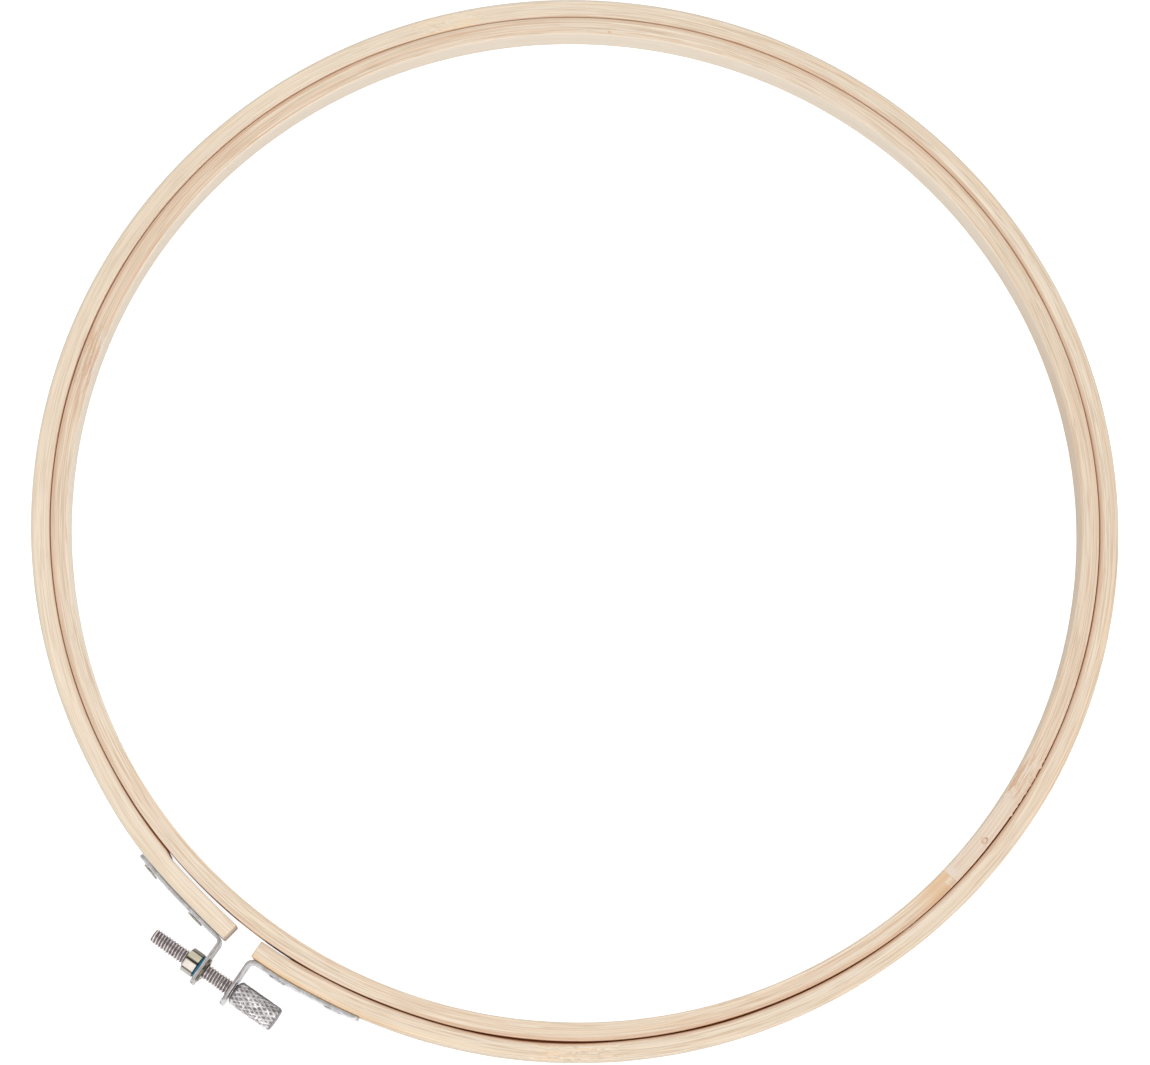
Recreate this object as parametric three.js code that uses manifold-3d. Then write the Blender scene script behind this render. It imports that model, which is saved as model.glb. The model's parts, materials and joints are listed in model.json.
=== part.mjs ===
// A round embroidery hoop: two bamboo rings, and the bracketed thumb screw that draws the outer one tight.
// Millimetres, +Z up. The hoop lies flat with its split towards -Y, and the origin is under its middle.
import * as THREE from 'three';
import { mergeVertices } from 'three/addons/utils/BufferGeometryUtils.js';
import Module from 'manifold-3d';

const wasm = await Module();
wasm.setup();

// The rings
const innerRingRadius = 129.85; // outer wall of the inner ring
const innerRingWall = 4.45;
const outerRingWall = 4.55;
const ringHeight = 8.1;
const clothGap = 0.3; // running gap between the rings, where the cloth goes
const ringEdge = 0.6; // worn corner along each ring
const ringStep = 3; // degrees between stations round a ring
const fineStep = 0.9; // degrees between stations near the split

// The split in the outer ring, and how its two ends stand off the inner ring
const nutEndFrom = 4.25; // from the middle line of the split to the nut's end
const headEndFrom = 3.25;
const nutEndLift = { under: 0.5, underFrom: 33, underTo: 60, tip: 0.9, tipFrom: 20 };
const headEndLift = { under: 0.25, underFrom: 11, underTo: 24, tip: 0.1, tipFrom: 11 };
const nutEndSkew = 9.3; // degrees that the cut end leans from square
const headEndSkew = 1;
const skewLength = 9;

// The place opposite the split where the outer ring bends, as an angle from +Y towards the nut side
const flexAngle = 8.2;
const flexSeam = 0.3;

// The screw: how far its free end lies to the side of the split's middle and off the ring, and its lean
const screwFreeX = -18.8;
const screwStandOff = 10.13;
const screwLean = 2.44; // degrees
const threadRadius = 1.985;
const threadPitch = 0.79375; // 32 turns to the inch
const threadDepth = 0.46;
const threadSteps = 12; // sides in one turn
const shankLength = 23.9; // free end to the neck
const neckShoulder = 0.465; // how far the neck stands out from the thread
const neckLength = 0.8;
const headRadius = 3.16;
const headLength = 11.3;
const headChamfer = 0.55; // at the free end
const headNearChamfer = 0.15;
const knurlDepth = 0.26;
const knurlRound = 20; // diamonds round the head
const knurlRows = 10; // diamonds along the head

// The nut and what it holds, from the free end of the screw
const nutFrom = 9.8;
const nutLength = 3.5;
const nutSides = 8;
const nutWall = 0.935; // bore to corner
const nutChamfer = 0.35;
const boreClearance = 0.3;
const nutNeckWall = 0.4;
const collarRim = 0.515; // how far the collar stands out from the neck
const collarThickness = 0.5;
const washerThickness = 0.4;
const washerRim = 0.355; // hole to rim

// The brackets
const stripThickness = 0.8;
const stripWidth = 6.8;
const bendRadius = 1.4; // to the middle of the strip
const strapReach = 32.8; // end of each strap, measured straight from the middle of the split
const strapCorner = 1.3;
const strapGap = 0.2; // strap to wood
const headLugPlay = 0.55; // from this lug to the neck of the head
const lugTipReach = 4.4; // from the screw's axis to the tip of a lug
const lugCorner = 1.1;
const headLugLean = 1.2; // degrees that this lug leans from square to the screw, as the nut's doesn't
const seatGap = 0.08; // between pieces that press on each other
const turningGap = 0.3; // between the screw and the lug it turns in

// The rivets: the first one's distance from the middle line of the split, the second's from the strap's end
const nutRivets = { first: 13.1, fromEnd: 4.2 };
const headRivets = { first: 11.4, fromEnd: 6.6 };
const rivetHeadRadius = 2.3;
const rivetHeadHeight = 0.4;
const rivetShankRadius = 1.1;
const rivetShankLength = 4.3; // under the head
const rivetClearance = 0.12;
const rivetSeatGap = 0.15; // under a flat rivet head on a curved strap

// Worked out from the sizes above
const degree = Math.PI / 180;
const outerRingInside = innerRingRadius + clothGap;
const outerRingRadius = outerRingInside + outerRingWall;
const middle = ringHeight / 2;
const outerRingMiddle = outerRingInside + outerRingWall / 2;
const screwDirection = new THREE.Vector2(Math.cos(screwLean * degree), Math.sin(screwLean * degree));
const screwFreeY = -(outerRingRadius + screwStandOff);
const screwStart = new THREE.Vector2(screwFreeX, screwFreeY);
const boreRadius = threadRadius + boreClearance;
const nutNeckRadius = boreRadius + nutNeckWall;
const nutCornerRadius = boreRadius + nutWall;
const collarRadius = nutNeckRadius + collarRim;
const washerHole = nutNeckRadius + seatGap;
const washerRadius = washerHole + washerRim;
const neckRadius = threadRadius + neckShoulder;
const nutLugHole = nutNeckRadius + seatGap;
const headLugHole = threadRadius + turningGap;
const washerFrom = nutFrom + nutLength + seatGap;
const nutLugAt = washerFrom + washerThickness + seatGap + stripThickness / 2;
const headLugAt = shankLength - headLugPlay - stripThickness / 2;
const lugTipY = screwFreeY + nutLugAt * screwDirection.y - lugTipReach;
const ringCentreY = -(outerRingRadius + lugTipY) / 2; // puts the origin under the middle of the whole hoop

// Colours
const bamboo = { color: 0xe6d2b0, roughness: 0.62, metalness: 0 };
const galvanised = { color: 0xb4b7b2, roughness: 0.48, metalness: 0.85 };
const nickel = { color: 0xc4bca8, roughness: 0.25, metalness: 1 };
const turnedSteel = { color: 0xa29b9c, roughness: 0.35, metalness: 1 };
const blueNylon = { color: 0x0e6f96, roughness: 0.45, metalness: 0 };

// Closed geometry to solid, and solid back to a named mesh
function toSolid(geometry) {
  const bare = new THREE.BufferGeometry();
  const source = geometry.index ? geometry.toNonIndexed() : geometry;
  bare.setAttribute('position', source.getAttribute('position').clone());
  const merged = mergeVertices(bare, 1e-4);
  return new wasm.Manifold(
    new wasm.Mesh({
      numProp: 3,
      vertProperties: merged.getAttribute('position').array,
      triVerts: new Uint32Array(merged.index.array),
    }),
  );
}

function toMesh(name, solid, finish) {
  const raw = solid.getMesh();
  const geometry = new THREE.BufferGeometry();
  geometry.setAttribute('position', new THREE.BufferAttribute(new Float32Array(raw.vertProperties), 3));
  geometry.setIndex(new THREE.BufferAttribute(new Uint32Array(raw.triVerts), 1));
  geometry.computeVertexNormals();
  const mesh = new THREE.Mesh(geometry, new THREE.MeshStandardMaterial(finish));
  mesh.name = name;
  return mesh;
}

// A body of revolution about X: the profile is [distance along X, radius] pairs, from axis to axis
function turned(profile, sides) {
  const points = profile.map(([x, r]) => new THREE.Vector2(Math.max(r, 0), x));
  const geometry = new THREE.LatheGeometry(points, sides);
  geometry.rotateZ(-Math.PI / 2); // the lathe's Y axis becomes X
  return toSolid(geometry);
}

function rod(from, to, radius, sides = 32) {
  return turned([[from, 0], [from, radius], [to, radius], [to, 0]], sides);
}

// A skin through cross-sections that all have the same count of points, capped at both ends
function loft(sections) {
  const count = sections[0].length;
  const positions = sections.flat().flatMap((p) => [p.x, p.y, p.z]);
  const index = [];
  const end = (sections.length - 1) * count;
  for (let i = 0; i < end; i += count) {
    for (let j = 0; j < count; j++) {
      const [a, b] = [i + j, i + ((j + 1) % count)];
      index.push(a, b, b + count, a, b + count, a + count);
    }
  }
  for (let j = 1; j < count - 1; j++) {
    index.push(0, j + 1, j);
    index.push(end, end + j, end + j + 1);
  }
  const geometry = new THREE.BufferGeometry();
  geometry.setAttribute('position', new THREE.Float32BufferAttribute(positions, 3));
  geometry.setIndex(index);
  return geometry;
}

// The cross-section of a ring wall, as [radius, height] pairs
function wallSection(inside, wall) {
  const [near, far, low, high] = [inside, inside + wall, 0, ringHeight];
  return [
    [near + ringEdge, low], [far - ringEdge, low], [far, low + ringEdge], [far, high - ringEdge],
    [far - ringEdge, high], [near + ringEdge, high], [near, high - ringEdge], [near, low + ringEdge],
  ];
}

function smooth(value) {
  const t = THREE.MathUtils.clamp(value, 0, 1);
  return t * t * (3 - 2 * t);
}

// How far an end of the outer ring stands out, at an arc length from the middle of the split
function liftAt(arc, lift) {
  const under = lift.under * smooth((lift.underTo - arc) / (lift.underTo - lift.underFrom));
  const tip = lift.tip * Math.max(0, (lift.tipFrom - arc) / lift.tipFrom) ** 2;
  return under + tip;
}

// A point at a radius and an angle from the split: side -1 is the nut's, side +1 the head's
function ringPoint(radius, angle, side, z = 0) {
  return new THREE.Vector3(side * radius * Math.sin(angle * degree), -radius * Math.cos(angle * degree), z);
}

const endShapes = {
  '-1': { from: nutEndFrom, lift: nutEndLift, skew: nutEndSkew, reach: 180 - flexAngle },
  '1': { from: headEndFrom, lift: headEndLift, skew: headEndSkew, reach: 180 + flexAngle },
};

function outsideRadius(angle, side) {
  return outerRingRadius + liftAt(angle * degree * outerRingRadius, endShapes[side].lift);
}

// Point, outward normal and direction towards the split, on the outer face of the outer ring
function outsideFrame(angle, side, standOff) {
  const nudge = 0.2;
  const before = ringPoint(outsideRadius(angle + nudge, side), angle + nudge, side);
  const after = ringPoint(outsideRadius(angle - nudge, side), angle - nudge, side);
  const along = after.clone().sub(before).normalize();
  const normal = new THREE.Vector3(-side * along.y, side * along.x, 0);
  const point = ringPoint(outsideRadius(angle, side), angle, side).addScaledVector(normal, standOff);
  return { point, normal, along };
}

// One side of the outer ring, from the split to the place where the ring bends
function outerRingHalf(side) {
  const { from, lift, skew, reach } = endShapes[side];
  const halfSeam = flexSeam / 2 / (outerRingRadius * degree);
  const fineReach = lift.underTo / (outerRingRadius * degree);
  const angles = [];
  for (let a = Math.asin(from / outerRingMiddle) / degree; a < fineReach; a += fineStep) angles.push(a);
  const left = reach - halfSeam - fineReach;
  const steps = Math.ceil(left / ringStep);
  for (let i = 0; i <= steps; i++) angles.push(fineReach + (left * i) / steps);
  const section = wallSection(outerRingInside, outerRingWall);
  const sections = angles.map((angle) => {
    const arc = angle * degree * outerRingRadius;
    const out = liftAt(arc, lift);
    const lean = skew * smooth((skewLength - arc) / skewLength) * degree;
    return section.map(([radius, z]) => {
      const shift = (radius - outerRingInside - outerRingWall / 2) * Math.tan(lean);
      return ringPoint(radius + out, angle + shift / (radius * degree), side, z);
    });
  });
  if (side > 0) sections.reverse();
  return toSolid(loft(sections));
}

function innerRing() {
  const profile = wallSection(innerRingRadius - innerRingWall, innerRingWall);
  const points = [...profile, profile[0]].map(([radius, z]) => new THREE.Vector2(radius, z));
  const geometry = new THREE.LatheGeometry(points, 360 / ringStep);
  geometry.rotateX(Math.PI / 2);
  return toSolid(geometry);
}

// Places a solid that was turned about X: its X axis along `direction`, its origin at `point`
function place(solid, point, direction, z = middle) {
  const angle = Math.atan2(direction.y, direction.x) / degree;
  return solid.rotate([0, 0, angle]).translate([point.x, point.y, z]);
}

function onScrew(solid) {
  return place(solid, screwStart, screwDirection);
}

function screwPoint(distance) {
  return screwStart.clone().addScaledVector(screwDirection, distance);
}

// The middle line of a bracket: along the ring, round the bend and out along the lug
function bracketLine(side) {
  const lean = (side < 0 ? screwLean : screwLean + headLugLean) * degree;
  const outward = new THREE.Vector2(Math.sin(lean), -Math.cos(lean));
  const cross = screwPoint(side < 0 ? nutLugAt : headLugAt);
  const towardsSplit = new THREE.Vector2(-side * Math.cos(lean), -side * Math.sin(lean));
  const farAngle = Math.asin(strapReach / outerRingRadius) / degree;
  const standOff = strapGap + stripThickness / 2;
  // The bend's centre lies one bend radius outside the strap, and as far from the lug's line
  let nearAngle = Math.asin(endShapes[side].from / outerRingMiddle) / degree;
  let frame;
  let centre;
  for (let i = 0; i < 8; i++) {
    frame = outsideFrame(nearAngle, side, standOff);
    centre = new THREE.Vector2(frame.point.x, frame.point.y);
    centre.addScaledVector(new THREE.Vector2(frame.normal.x, frame.normal.y), bendRadius);
    const miss = cross.clone().sub(centre).dot(towardsSplit) - bendRadius;
    nearAngle -= miss / (outerRingRadius * degree);
  }
  const line = [];
  const strapSteps = 14;
  for (let i = 0; i < strapSteps; i++) {
    const angle = farAngle + ((nearAngle - farAngle) * i) / strapSteps;
    const { point } = outsideFrame(angle, side, standOff);
    line.push(new THREE.Vector2(point.x, point.y));
  }
  const from = Math.atan2(-frame.normal.y, -frame.normal.x);
  const to = Math.atan2(towardsSplit.y, towardsSplit.x);
  const turn = Math.atan2(Math.sin(to - from), Math.cos(to - from));
  const bendSteps = 6;
  for (let i = 0; i <= bendSteps; i++) {
    const angle = from + (turn * i) / bendSteps;
    const arm = new THREE.Vector2(Math.cos(angle), Math.sin(angle));
    line.push(centre.clone().addScaledVector(arm, bendRadius));
  }
  const tip = cross.clone().addScaledVector(outward, lugTipReach);
  line.push(tip);
  return { line, tip, outward, cross };
}

// Offsets a line of points sideways, square to it at each point
function offsetLine(line, distance) {
  return line.map((point, i) => {
    const before = line[Math.max(i - 1, 0)];
    const after = line[Math.min(i + 1, line.length - 1)];
    const along = after.clone().sub(before).normalize();
    return point.clone().add(new THREE.Vector2(-along.y, along.x).multiplyScalar(distance));
  });
}

// What is left outside a rounded strip end, as a block to cut away: +X is the strip's end
function endCutter(cornerRadius) {
  const [half, past, depth] = [stripWidth / 2, 1, 6];
  const shape = new THREE.Shape();
  shape.moveTo(-cornerRadius, half);
  shape.absarc(-cornerRadius, half - cornerRadius, cornerRadius, Math.PI / 2, 0, true);
  shape.absarc(-cornerRadius, cornerRadius - half, cornerRadius, 0, -Math.PI / 2, true);
  shape.lineTo(-cornerRadius, -half - past);
  shape.lineTo(past, -half - past);
  shape.lineTo(past, half + past);
  shape.lineTo(-cornerRadius, half + past);
  const block = new THREE.ExtrudeGeometry(shape, { depth, bevelEnabled: false, curveSegments: 8 });
  block.translate(0, 0, -depth / 2);
  block.rotateX(Math.PI / 2); // the strip's width becomes Z and its thickness Y
  return toSolid(block);
}

function rivetPlaces(side) {
  const { first, fromEnd } = side < 0 ? nutRivets : headRivets;
  const places = [first, strapReach - fromEnd];
  return places.map((x) => outsideFrame(Math.asin(x / outerRingRadius) / degree, side, 0));
}

function bracket(side) {
  const { line, tip, outward, cross } = bracketLine(side);
  const edge = [...offsetLine(line, stripThickness / 2), ...offsetLine(line, -stripThickness / 2).reverse()];
  const outline = new THREE.Shape(edge);
  const plate = new THREE.ExtrudeGeometry(outline, { depth: stripWidth, bevelEnabled: false });
  plate.translate(0, 0, middle - stripWidth / 2);
  let solid = toSolid(plate);
  const strapEnd = line[0];
  const strapOut = strapEnd.clone().sub(line[1]).normalize();
  solid = solid.subtract(place(endCutter(lugCorner), tip, outward));
  solid = solid.subtract(place(endCutter(strapCorner), strapEnd, strapOut));
  const hole = side < 0 ? nutLugHole : headLugHole;
  solid = solid.subtract(place(rod(-3, 3, hole, 28), cross, screwDirection));
  for (const spot of rivetPlaces(side)) {
    solid = solid.subtract(place(rod(-2, 3, rivetShankRadius + rivetClearance, 20), spot.point, spot.normal));
  }
  return solid;
}

// A rivet along its own X axis, which points outward. X is 0 at the wood's surface.
function rivet() {
  const under = strapGap + stripThickness + rivetSeatGap;
  const top = under + rivetHeadHeight;
  return turned(
    [
      [under - rivetShankLength, 0], [under - rivetShankLength, rivetShankRadius], [under, rivetShankRadius],
      [under, rivetHeadRadius], [under + 0.35 * rivetHeadHeight, rivetHeadRadius],
      [top - 0.15 * rivetHeadHeight, rivetHeadRadius * 0.86], [top, rivetHeadRadius * 0.6], [top, 0],
    ],
    20,
  );
}

function rivetHole() {
  const under = strapGap + stripThickness + rivetSeatGap;
  return rod(under - rivetShankLength - rivetClearance, 2, rivetShankRadius + rivetClearance, 20);
}

// The screw thread, cut from a helical skin that is a little longer than the shank
function threadedShank() {
  const turns = Math.ceil(shankLength / threadPitch) + 3;
  const radii = [threadRadius, threadRadius - threadDepth]; // crest and root
  const rowsPerTurn = radii.length;
  const rows = turns * rowsPerTurn;
  const points = [];
  for (let i = 0; i <= rows + rowsPerTurn; i++) {
    for (let j = 0; j < threadSteps; j++) {
      const turn = j / threadSteps;
      const x = threadPitch * (i / rowsPerTurn + turn - 2);
      const angle = turn * 2 * Math.PI;
      const r = radii[i % rowsPerTurn];
      points.push(new THREE.Vector3(x, r * Math.cos(angle), r * Math.sin(angle)));
    }
  }
  const at = (i, j) => (j < threadSteps ? i * threadSteps + j : (i + rowsPerTurn) * threadSteps);
  const index = [];
  for (let i = 0; i < rows; i++) {
    for (let j = 0; j < threadSteps; j++) {
      index.push(at(i, j), at(i, j + 1), at(i + 1, j + 1), at(i, j), at(i + 1, j + 1), at(i + 1, j));
    }
  }
  // Each end is one turn of the skin's edge, closed by a fan to a point on the axis
  for (const [row, sign] of [[0, 1], [rows, -1]]) {
    const loop = [];
    for (let j = 0; j < threadSteps; j++) loop.push(at(row, j));
    for (let k = rowsPerTurn; k > 0; k--) loop.push(at(row + k, 0));
    const hub = points.length;
    points.push(new THREE.Vector3(threadPitch * (row / rowsPerTurn - 1.5), 0, 0));
    for (let k = 0; k < loop.length; k++) {
      const [a, b] = [loop[k], loop[(k + 1) % loop.length]];
      if (sign > 0) index.push(hub, b, a);
      else index.push(hub, a, b);
    }
  }
  const positions = points.flatMap((p) => [p.x, p.y, p.z]);
  const geometry = new THREE.BufferGeometry();
  geometry.setAttribute('position', new THREE.Float32BufferAttribute(positions, 3));
  geometry.setIndex(index);
  const lead = threadDepth * 0.9;
  const blank = turned(
    [
      [0, 0], [0, threadRadius - lead], [lead, threadRadius + 0.1],
      [shankLength, threadRadius + 0.1], [shankLength, 0],
    ],
    threadSteps * 2,
  );
  return toSolid(geometry).intersect(blank);
}

// A diamond knurl: a pyramid for each diamond, with low corners where the grooves cross
function knurledHead() {
  const from = shankLength + neckLength;
  const rowPitch = headLength / (2 * knurlRows);
  const columns = 2 * knurlRound;
  const rowCount = 2 * knurlRows + 4;
  const sections = [];
  for (let i = 0; i <= rowCount; i++) {
    const section = [];
    for (let j = 0; j < columns; j++) {
      const r = headRadius - ((i + j) % 2 ? knurlDepth : 0);
      const angle = (j / columns) * 2 * Math.PI;
      section.push(new THREE.Vector3(from + rowPitch * (i - 2), r * Math.cos(angle), r * Math.sin(angle)));
    }
    sections.push(section);
  }
  const positions = sections.flat().flatMap((p) => [p.x, p.y, p.z]);
  const index = [];
  for (let i = 0; i < rowCount; i++) {
    for (let j = 0; j < columns; j++) {
      const [a, b] = [i * columns + j, i * columns + ((j + 1) % columns)];
      const [c, d] = [b + columns, a + columns];
      // Each cell is cut along the groove, so that the fold never crosses a diamond
      if ((i + j) % 2) index.push(a, b, c, a, c, d);
      else index.push(a, b, d, b, c, d);
    }
  }
  for (const [row, flip] of [[0, false], [rowCount, true]]) {
    const hub = positions.length / 3;
    positions.push(sections[row][0].x, 0, 0);
    for (let j = 0; j < columns; j++) {
      const [a, b] = [row * columns + j, row * columns + ((j + 1) % columns)];
      index.push(hub, flip ? a : b, flip ? b : a);
    }
  }
  const geometry = new THREE.BufferGeometry();
  geometry.setAttribute('position', new THREE.Float32BufferAttribute(positions, 3));
  geometry.setIndex(index);
  const to = from + headLength;
  const blank = turned(
    [
      [from, 0], [from, headRadius - headNearChamfer], [from + headNearChamfer, headRadius + 0.1],
      [to - headChamfer, headRadius + 0.1], [to, headRadius - headChamfer - 0.1], [to, 0],
    ],
    columns,
  );
  return toSolid(geometry).intersect(blank);
}

function thumbScrew() {
  const neck = rod(shankLength - 0.4, shankLength + neckLength + 0.4, neckRadius, 32);
  return onScrew(threadedShank().add(neck).add(knurledHead()));
}

function nut() {
  const to = nutFrom + nutLength;
  const body = new THREE.CylinderGeometry(nutCornerRadius, nutCornerRadius, nutLength, nutSides);
  body.rotateZ(-Math.PI / 2);
  body.translate(nutFrom + nutLength / 2, 0, 0);
  // The free end is chamfered round, and the flats carry on to the washer
  const chamfer = turned(
    [
      [nutFrom, 0], [nutFrom, nutCornerRadius - 2 * nutChamfer],
      [nutFrom + nutChamfer, nutCornerRadius + 0.05],
      [to, nutCornerRadius + 0.05], [to, 0],
    ],
    48,
  );
  const collarFrom = nutLugAt + stripThickness / 2 + seatGap;
  const collarTo = collarFrom + collarThickness;
  const neck = rod(to - 0.4, collarTo - 0.1, nutNeckRadius);
  const collar = turned(
    [
      [collarFrom, 0], [collarFrom, collarRadius], [collarFrom + 0.5 * collarThickness, collarRadius],
      [collarTo, collarRadius - 0.5 * collarThickness], [collarTo, 0],
    ],
    32,
  );
  const solid = toSolid(body).intersect(chamfer).add(neck).add(collar);
  return onScrew(solid.subtract(rod(nutFrom - 1, collarTo + 1, boreRadius)));
}

function washer() {
  const to = washerFrom + washerThickness;
  const solid = rod(washerFrom, to, washerRadius);
  return onScrew(solid.subtract(rod(washerFrom - 1, to + 1, washerHole)));
}

// The hoop, with its middle moved off the ring's centre so that the origin is under the whole of it
const hoop = new THREE.Group();
hoop.position.y = ringCentreY;
hoop.add(toMesh('inner_ring', innerRing(), bamboo));

for (const [side, name] of [[-1, 'nut'], [1, 'head']]) {
  let wood = outerRingHalf(side);
  rivetPlaces(side).forEach((spot, i) => {
    wood = wood.subtract(place(rivetHole(), spot.point, spot.normal));
    hoop.add(toMesh(`${name}_bracket_rivet_${i + 1}`, place(rivet(), spot.point, spot.normal), galvanised));
  });
  hoop.add(toMesh(`outer_ring_${name}_half`, wood, bamboo));
  hoop.add(toMesh(`${name}_bracket`, bracket(side), galvanised));
}

hoop.add(toMesh('clinch_nut', nut(), nickel));
hoop.add(toMesh('nut_washer', washer(), blueNylon));
hoop.add(toMesh('thumb_screw', thumbScrew(), turnedSteel));

const part = new THREE.Group();
part.add(hoop);
export default part;
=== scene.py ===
# %% [markdown]
# An embroidery hoop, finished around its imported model
#
# The hoop is two bamboo rings. The inner one is a closed circle, and the outer one is an open spring whose
# two ends carry small steel brackets. A thumb screw draws the brackets together and clamps cloth between
# the rings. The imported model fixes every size, so this script begins by loading it and keeping its box.

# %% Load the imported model
import json
import math

import bmesh
import bpy
from mathutils import Matrix, Vector, noise


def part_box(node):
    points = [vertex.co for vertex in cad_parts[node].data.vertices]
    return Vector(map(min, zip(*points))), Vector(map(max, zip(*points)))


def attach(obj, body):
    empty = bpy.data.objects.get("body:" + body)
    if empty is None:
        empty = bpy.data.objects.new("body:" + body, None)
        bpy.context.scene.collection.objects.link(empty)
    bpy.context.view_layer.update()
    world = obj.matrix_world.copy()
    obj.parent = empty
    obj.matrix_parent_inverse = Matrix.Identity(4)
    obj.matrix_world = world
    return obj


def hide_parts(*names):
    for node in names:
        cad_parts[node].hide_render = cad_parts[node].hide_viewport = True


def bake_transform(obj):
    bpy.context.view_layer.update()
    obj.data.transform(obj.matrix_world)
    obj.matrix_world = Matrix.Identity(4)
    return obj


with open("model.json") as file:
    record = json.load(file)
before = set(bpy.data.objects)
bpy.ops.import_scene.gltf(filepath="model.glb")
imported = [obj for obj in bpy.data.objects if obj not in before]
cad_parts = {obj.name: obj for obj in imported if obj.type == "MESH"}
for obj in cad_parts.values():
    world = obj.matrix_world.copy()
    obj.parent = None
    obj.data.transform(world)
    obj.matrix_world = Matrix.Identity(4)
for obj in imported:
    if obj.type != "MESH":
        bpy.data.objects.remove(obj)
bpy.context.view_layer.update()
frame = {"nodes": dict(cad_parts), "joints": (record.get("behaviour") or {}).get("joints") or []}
print("nodes:", sorted(frame["nodes"]))

# %% [markdown]
# Sizes
#
# Everything is modelled in millimetres round the middle of the rings, because a bamboo wall of 4.5 is
# easier to think about than 0.0045. One matrix then turns millimetres into metres and moves the work to
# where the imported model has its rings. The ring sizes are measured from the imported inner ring, and most
# small sizes of the brackets and the screw repeat those that the part was drawn with.

# %% Ring sizes, in millimetres
MM = 0.001
inner_low, inner_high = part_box("inner_ring")
ring_centre = Vector((0, (inner_low.y + inner_high.y) / 2, 0))
to_model = Matrix.Translation(ring_centre) @ Matrix.Scale(MM, 4)

INNER_RADIUS = (inner_high.x - inner_low.x) / 2 / MM
RING_HEIGHT = inner_high.z / MM
INNER_WALL = 4.45
OUTER_WALL = 4.55
CLOTH_GAP = 0.3
RING_EDGE = 0.45
OUTER_INSIDE = INNER_RADIUS + CLOTH_GAP
OUTER_RADIUS = OUTER_INSIDE + OUTER_WALL
OUTER_MIDDLE = OUTER_INSIDE + OUTER_WALL / 2
MIDDLE = RING_HEIGHT / 2
print(f"rings {2 * OUTER_RADIUS:.1f} mm across, {RING_HEIGHT:.1f} mm high")

# %% [markdown]
# The split in the outer ring
#
# The outer ring was sawn open, and its two ends stand off the inner ring, because each is held by a bracket
# that is stiffer than the wood. Lengths are counted from the middle of the split, to side -1, which holds
# the nut, and to side +1, where the screw's head is. One function says how far the ring stands off at any
# place. The wood, the straps and the rivets all ask it, so they keep together.

# %% Where the two ends lie, and how far they stand off
NUT, HEAD = -1, 1
SPLIT_ANGLE = math.radians(-90)
END_FROM = {NUT: 4.25, HEAD: 3.25}
END_ANGLE = {side: math.asin(at / OUTER_MIDDLE) for side, at in END_FROM.items()}
LIFT = {
    NUT: {"under": 0.5, "under_from": 33, "under_to": 60, "tip": 0.9, "tip_from": 20},
    HEAD: {"under": 0.25, "under_from": 11, "under_to": 24, "tip": 0.1, "tip_from": 11},
}
END_SKEW = {NUT: math.radians(9.3), HEAD: math.radians(1)}
SKEW_LENGTH = 9


def smooth(value):
    """0 below 0, 1 above 1, and an even curve between."""
    t = min(max(value, 0), 1)
    return t * t * (3 - 2 * t)


def lift_at(along, side):
    """How far the outer ring stands off the inner one, at a length along it from the middle of the split."""
    ends = LIFT[side]
    under = ends["under"] * smooth((ends["under_to"] - along) / (ends["under_to"] - ends["under_from"]))
    return under + ends["tip"] * max(0, (ends["tip_from"] - along) / ends["tip_from"]) ** 2


print("the nut's end stands off by", round(lift_at(END_FROM[NUT], NUT), 2), "mm")

# %% [markdown]
# From a mesh to a named piece
#
# Each piece is built in a bmesh, the form in which Blender's modelling operators work. One helper then
# moves it into the model's place, turns its faces outwards, shades round parts smooth and keeps
# true corners sharp. The object itself stays at the origin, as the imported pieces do.

# %% Helper that turns a bmesh into a piece
pieces = {}


def make_piece(name, bm, sharp=35):
    """Moves a bmesh of millimetres into the model, and keeps it as an object of that name."""
    bmesh.ops.transform(bm, matrix=to_model, verts=bm.verts)
    bmesh.ops.recalc_face_normals(bm, faces=bm.faces)
    open_edges = sum(not edge.is_manifold for edge in bm.edges)
    for face in bm.faces:
        face.smooth = True
    mesh = bpy.data.meshes.new(name)
    bm.to_mesh(mesh)
    bm.free()
    mesh.set_sharp_from_angle(angle=math.radians(sharp))
    pieces[name] = bpy.data.objects.new(name, mesh)
    bpy.context.scene.collection.objects.link(pieces[name])
    print(f"{name}: {len(mesh.polygons)} faces, {open_edges} open edges")
    return pieces[name]


# %% [markdown]
# The bamboo rings
#
# Each ring is a strip of bamboo steamed and bent round. A torus would be the wrong shape, because the
# strip's section is a tall rectangle with worn corners. So the section is drawn as one face, its corners
# are rounded with bevel, the long sides are cut so that the wood has points to vary, and spin carries the
# loop of edges round the centre. The wood's grain runs along the strip, round the circle. No straight
# texture can follow that, so each face corner remembers its place in the strip: how far along it lies, its
# radius and its height. The material reads that as its own coordinate.

# %% Draw a strip's section and spin it
CORNER_STEPS = 4
SIDE_CUTS = 6
RING_STEPS = 720
BOX_PLAY = 0.01


def strip_section(inside, wall):
    """A rounded rectangle of edges in the XZ plane."""
    bm = bmesh.new()
    low, high = BOX_PLAY, RING_HEIGHT - BOX_PLAY
    corners = [(inside, low), (inside + wall, low), (inside + wall, high), (inside, high)]
    bm.faces.new([bm.verts.new((x, 0, z)) for x, z in corners])
    bmesh.ops.bevel(
        bm,
        geom=bm.verts[:],
        offset=RING_EDGE,
        affect="VERTICES",
        segments=CORNER_STEPS,
        profile=0.5,
        material=-1,
    )
    sides = [edge for edge in bm.edges if edge.calc_length() > 2 * RING_EDGE]
    bmesh.ops.subdivide_edges(bm, edges=sides, cuts=SIDE_CUTS)
    bmesh.ops.delete(bm, geom=bm.faces[:], context="FACES_ONLY")
    return bm


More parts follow.
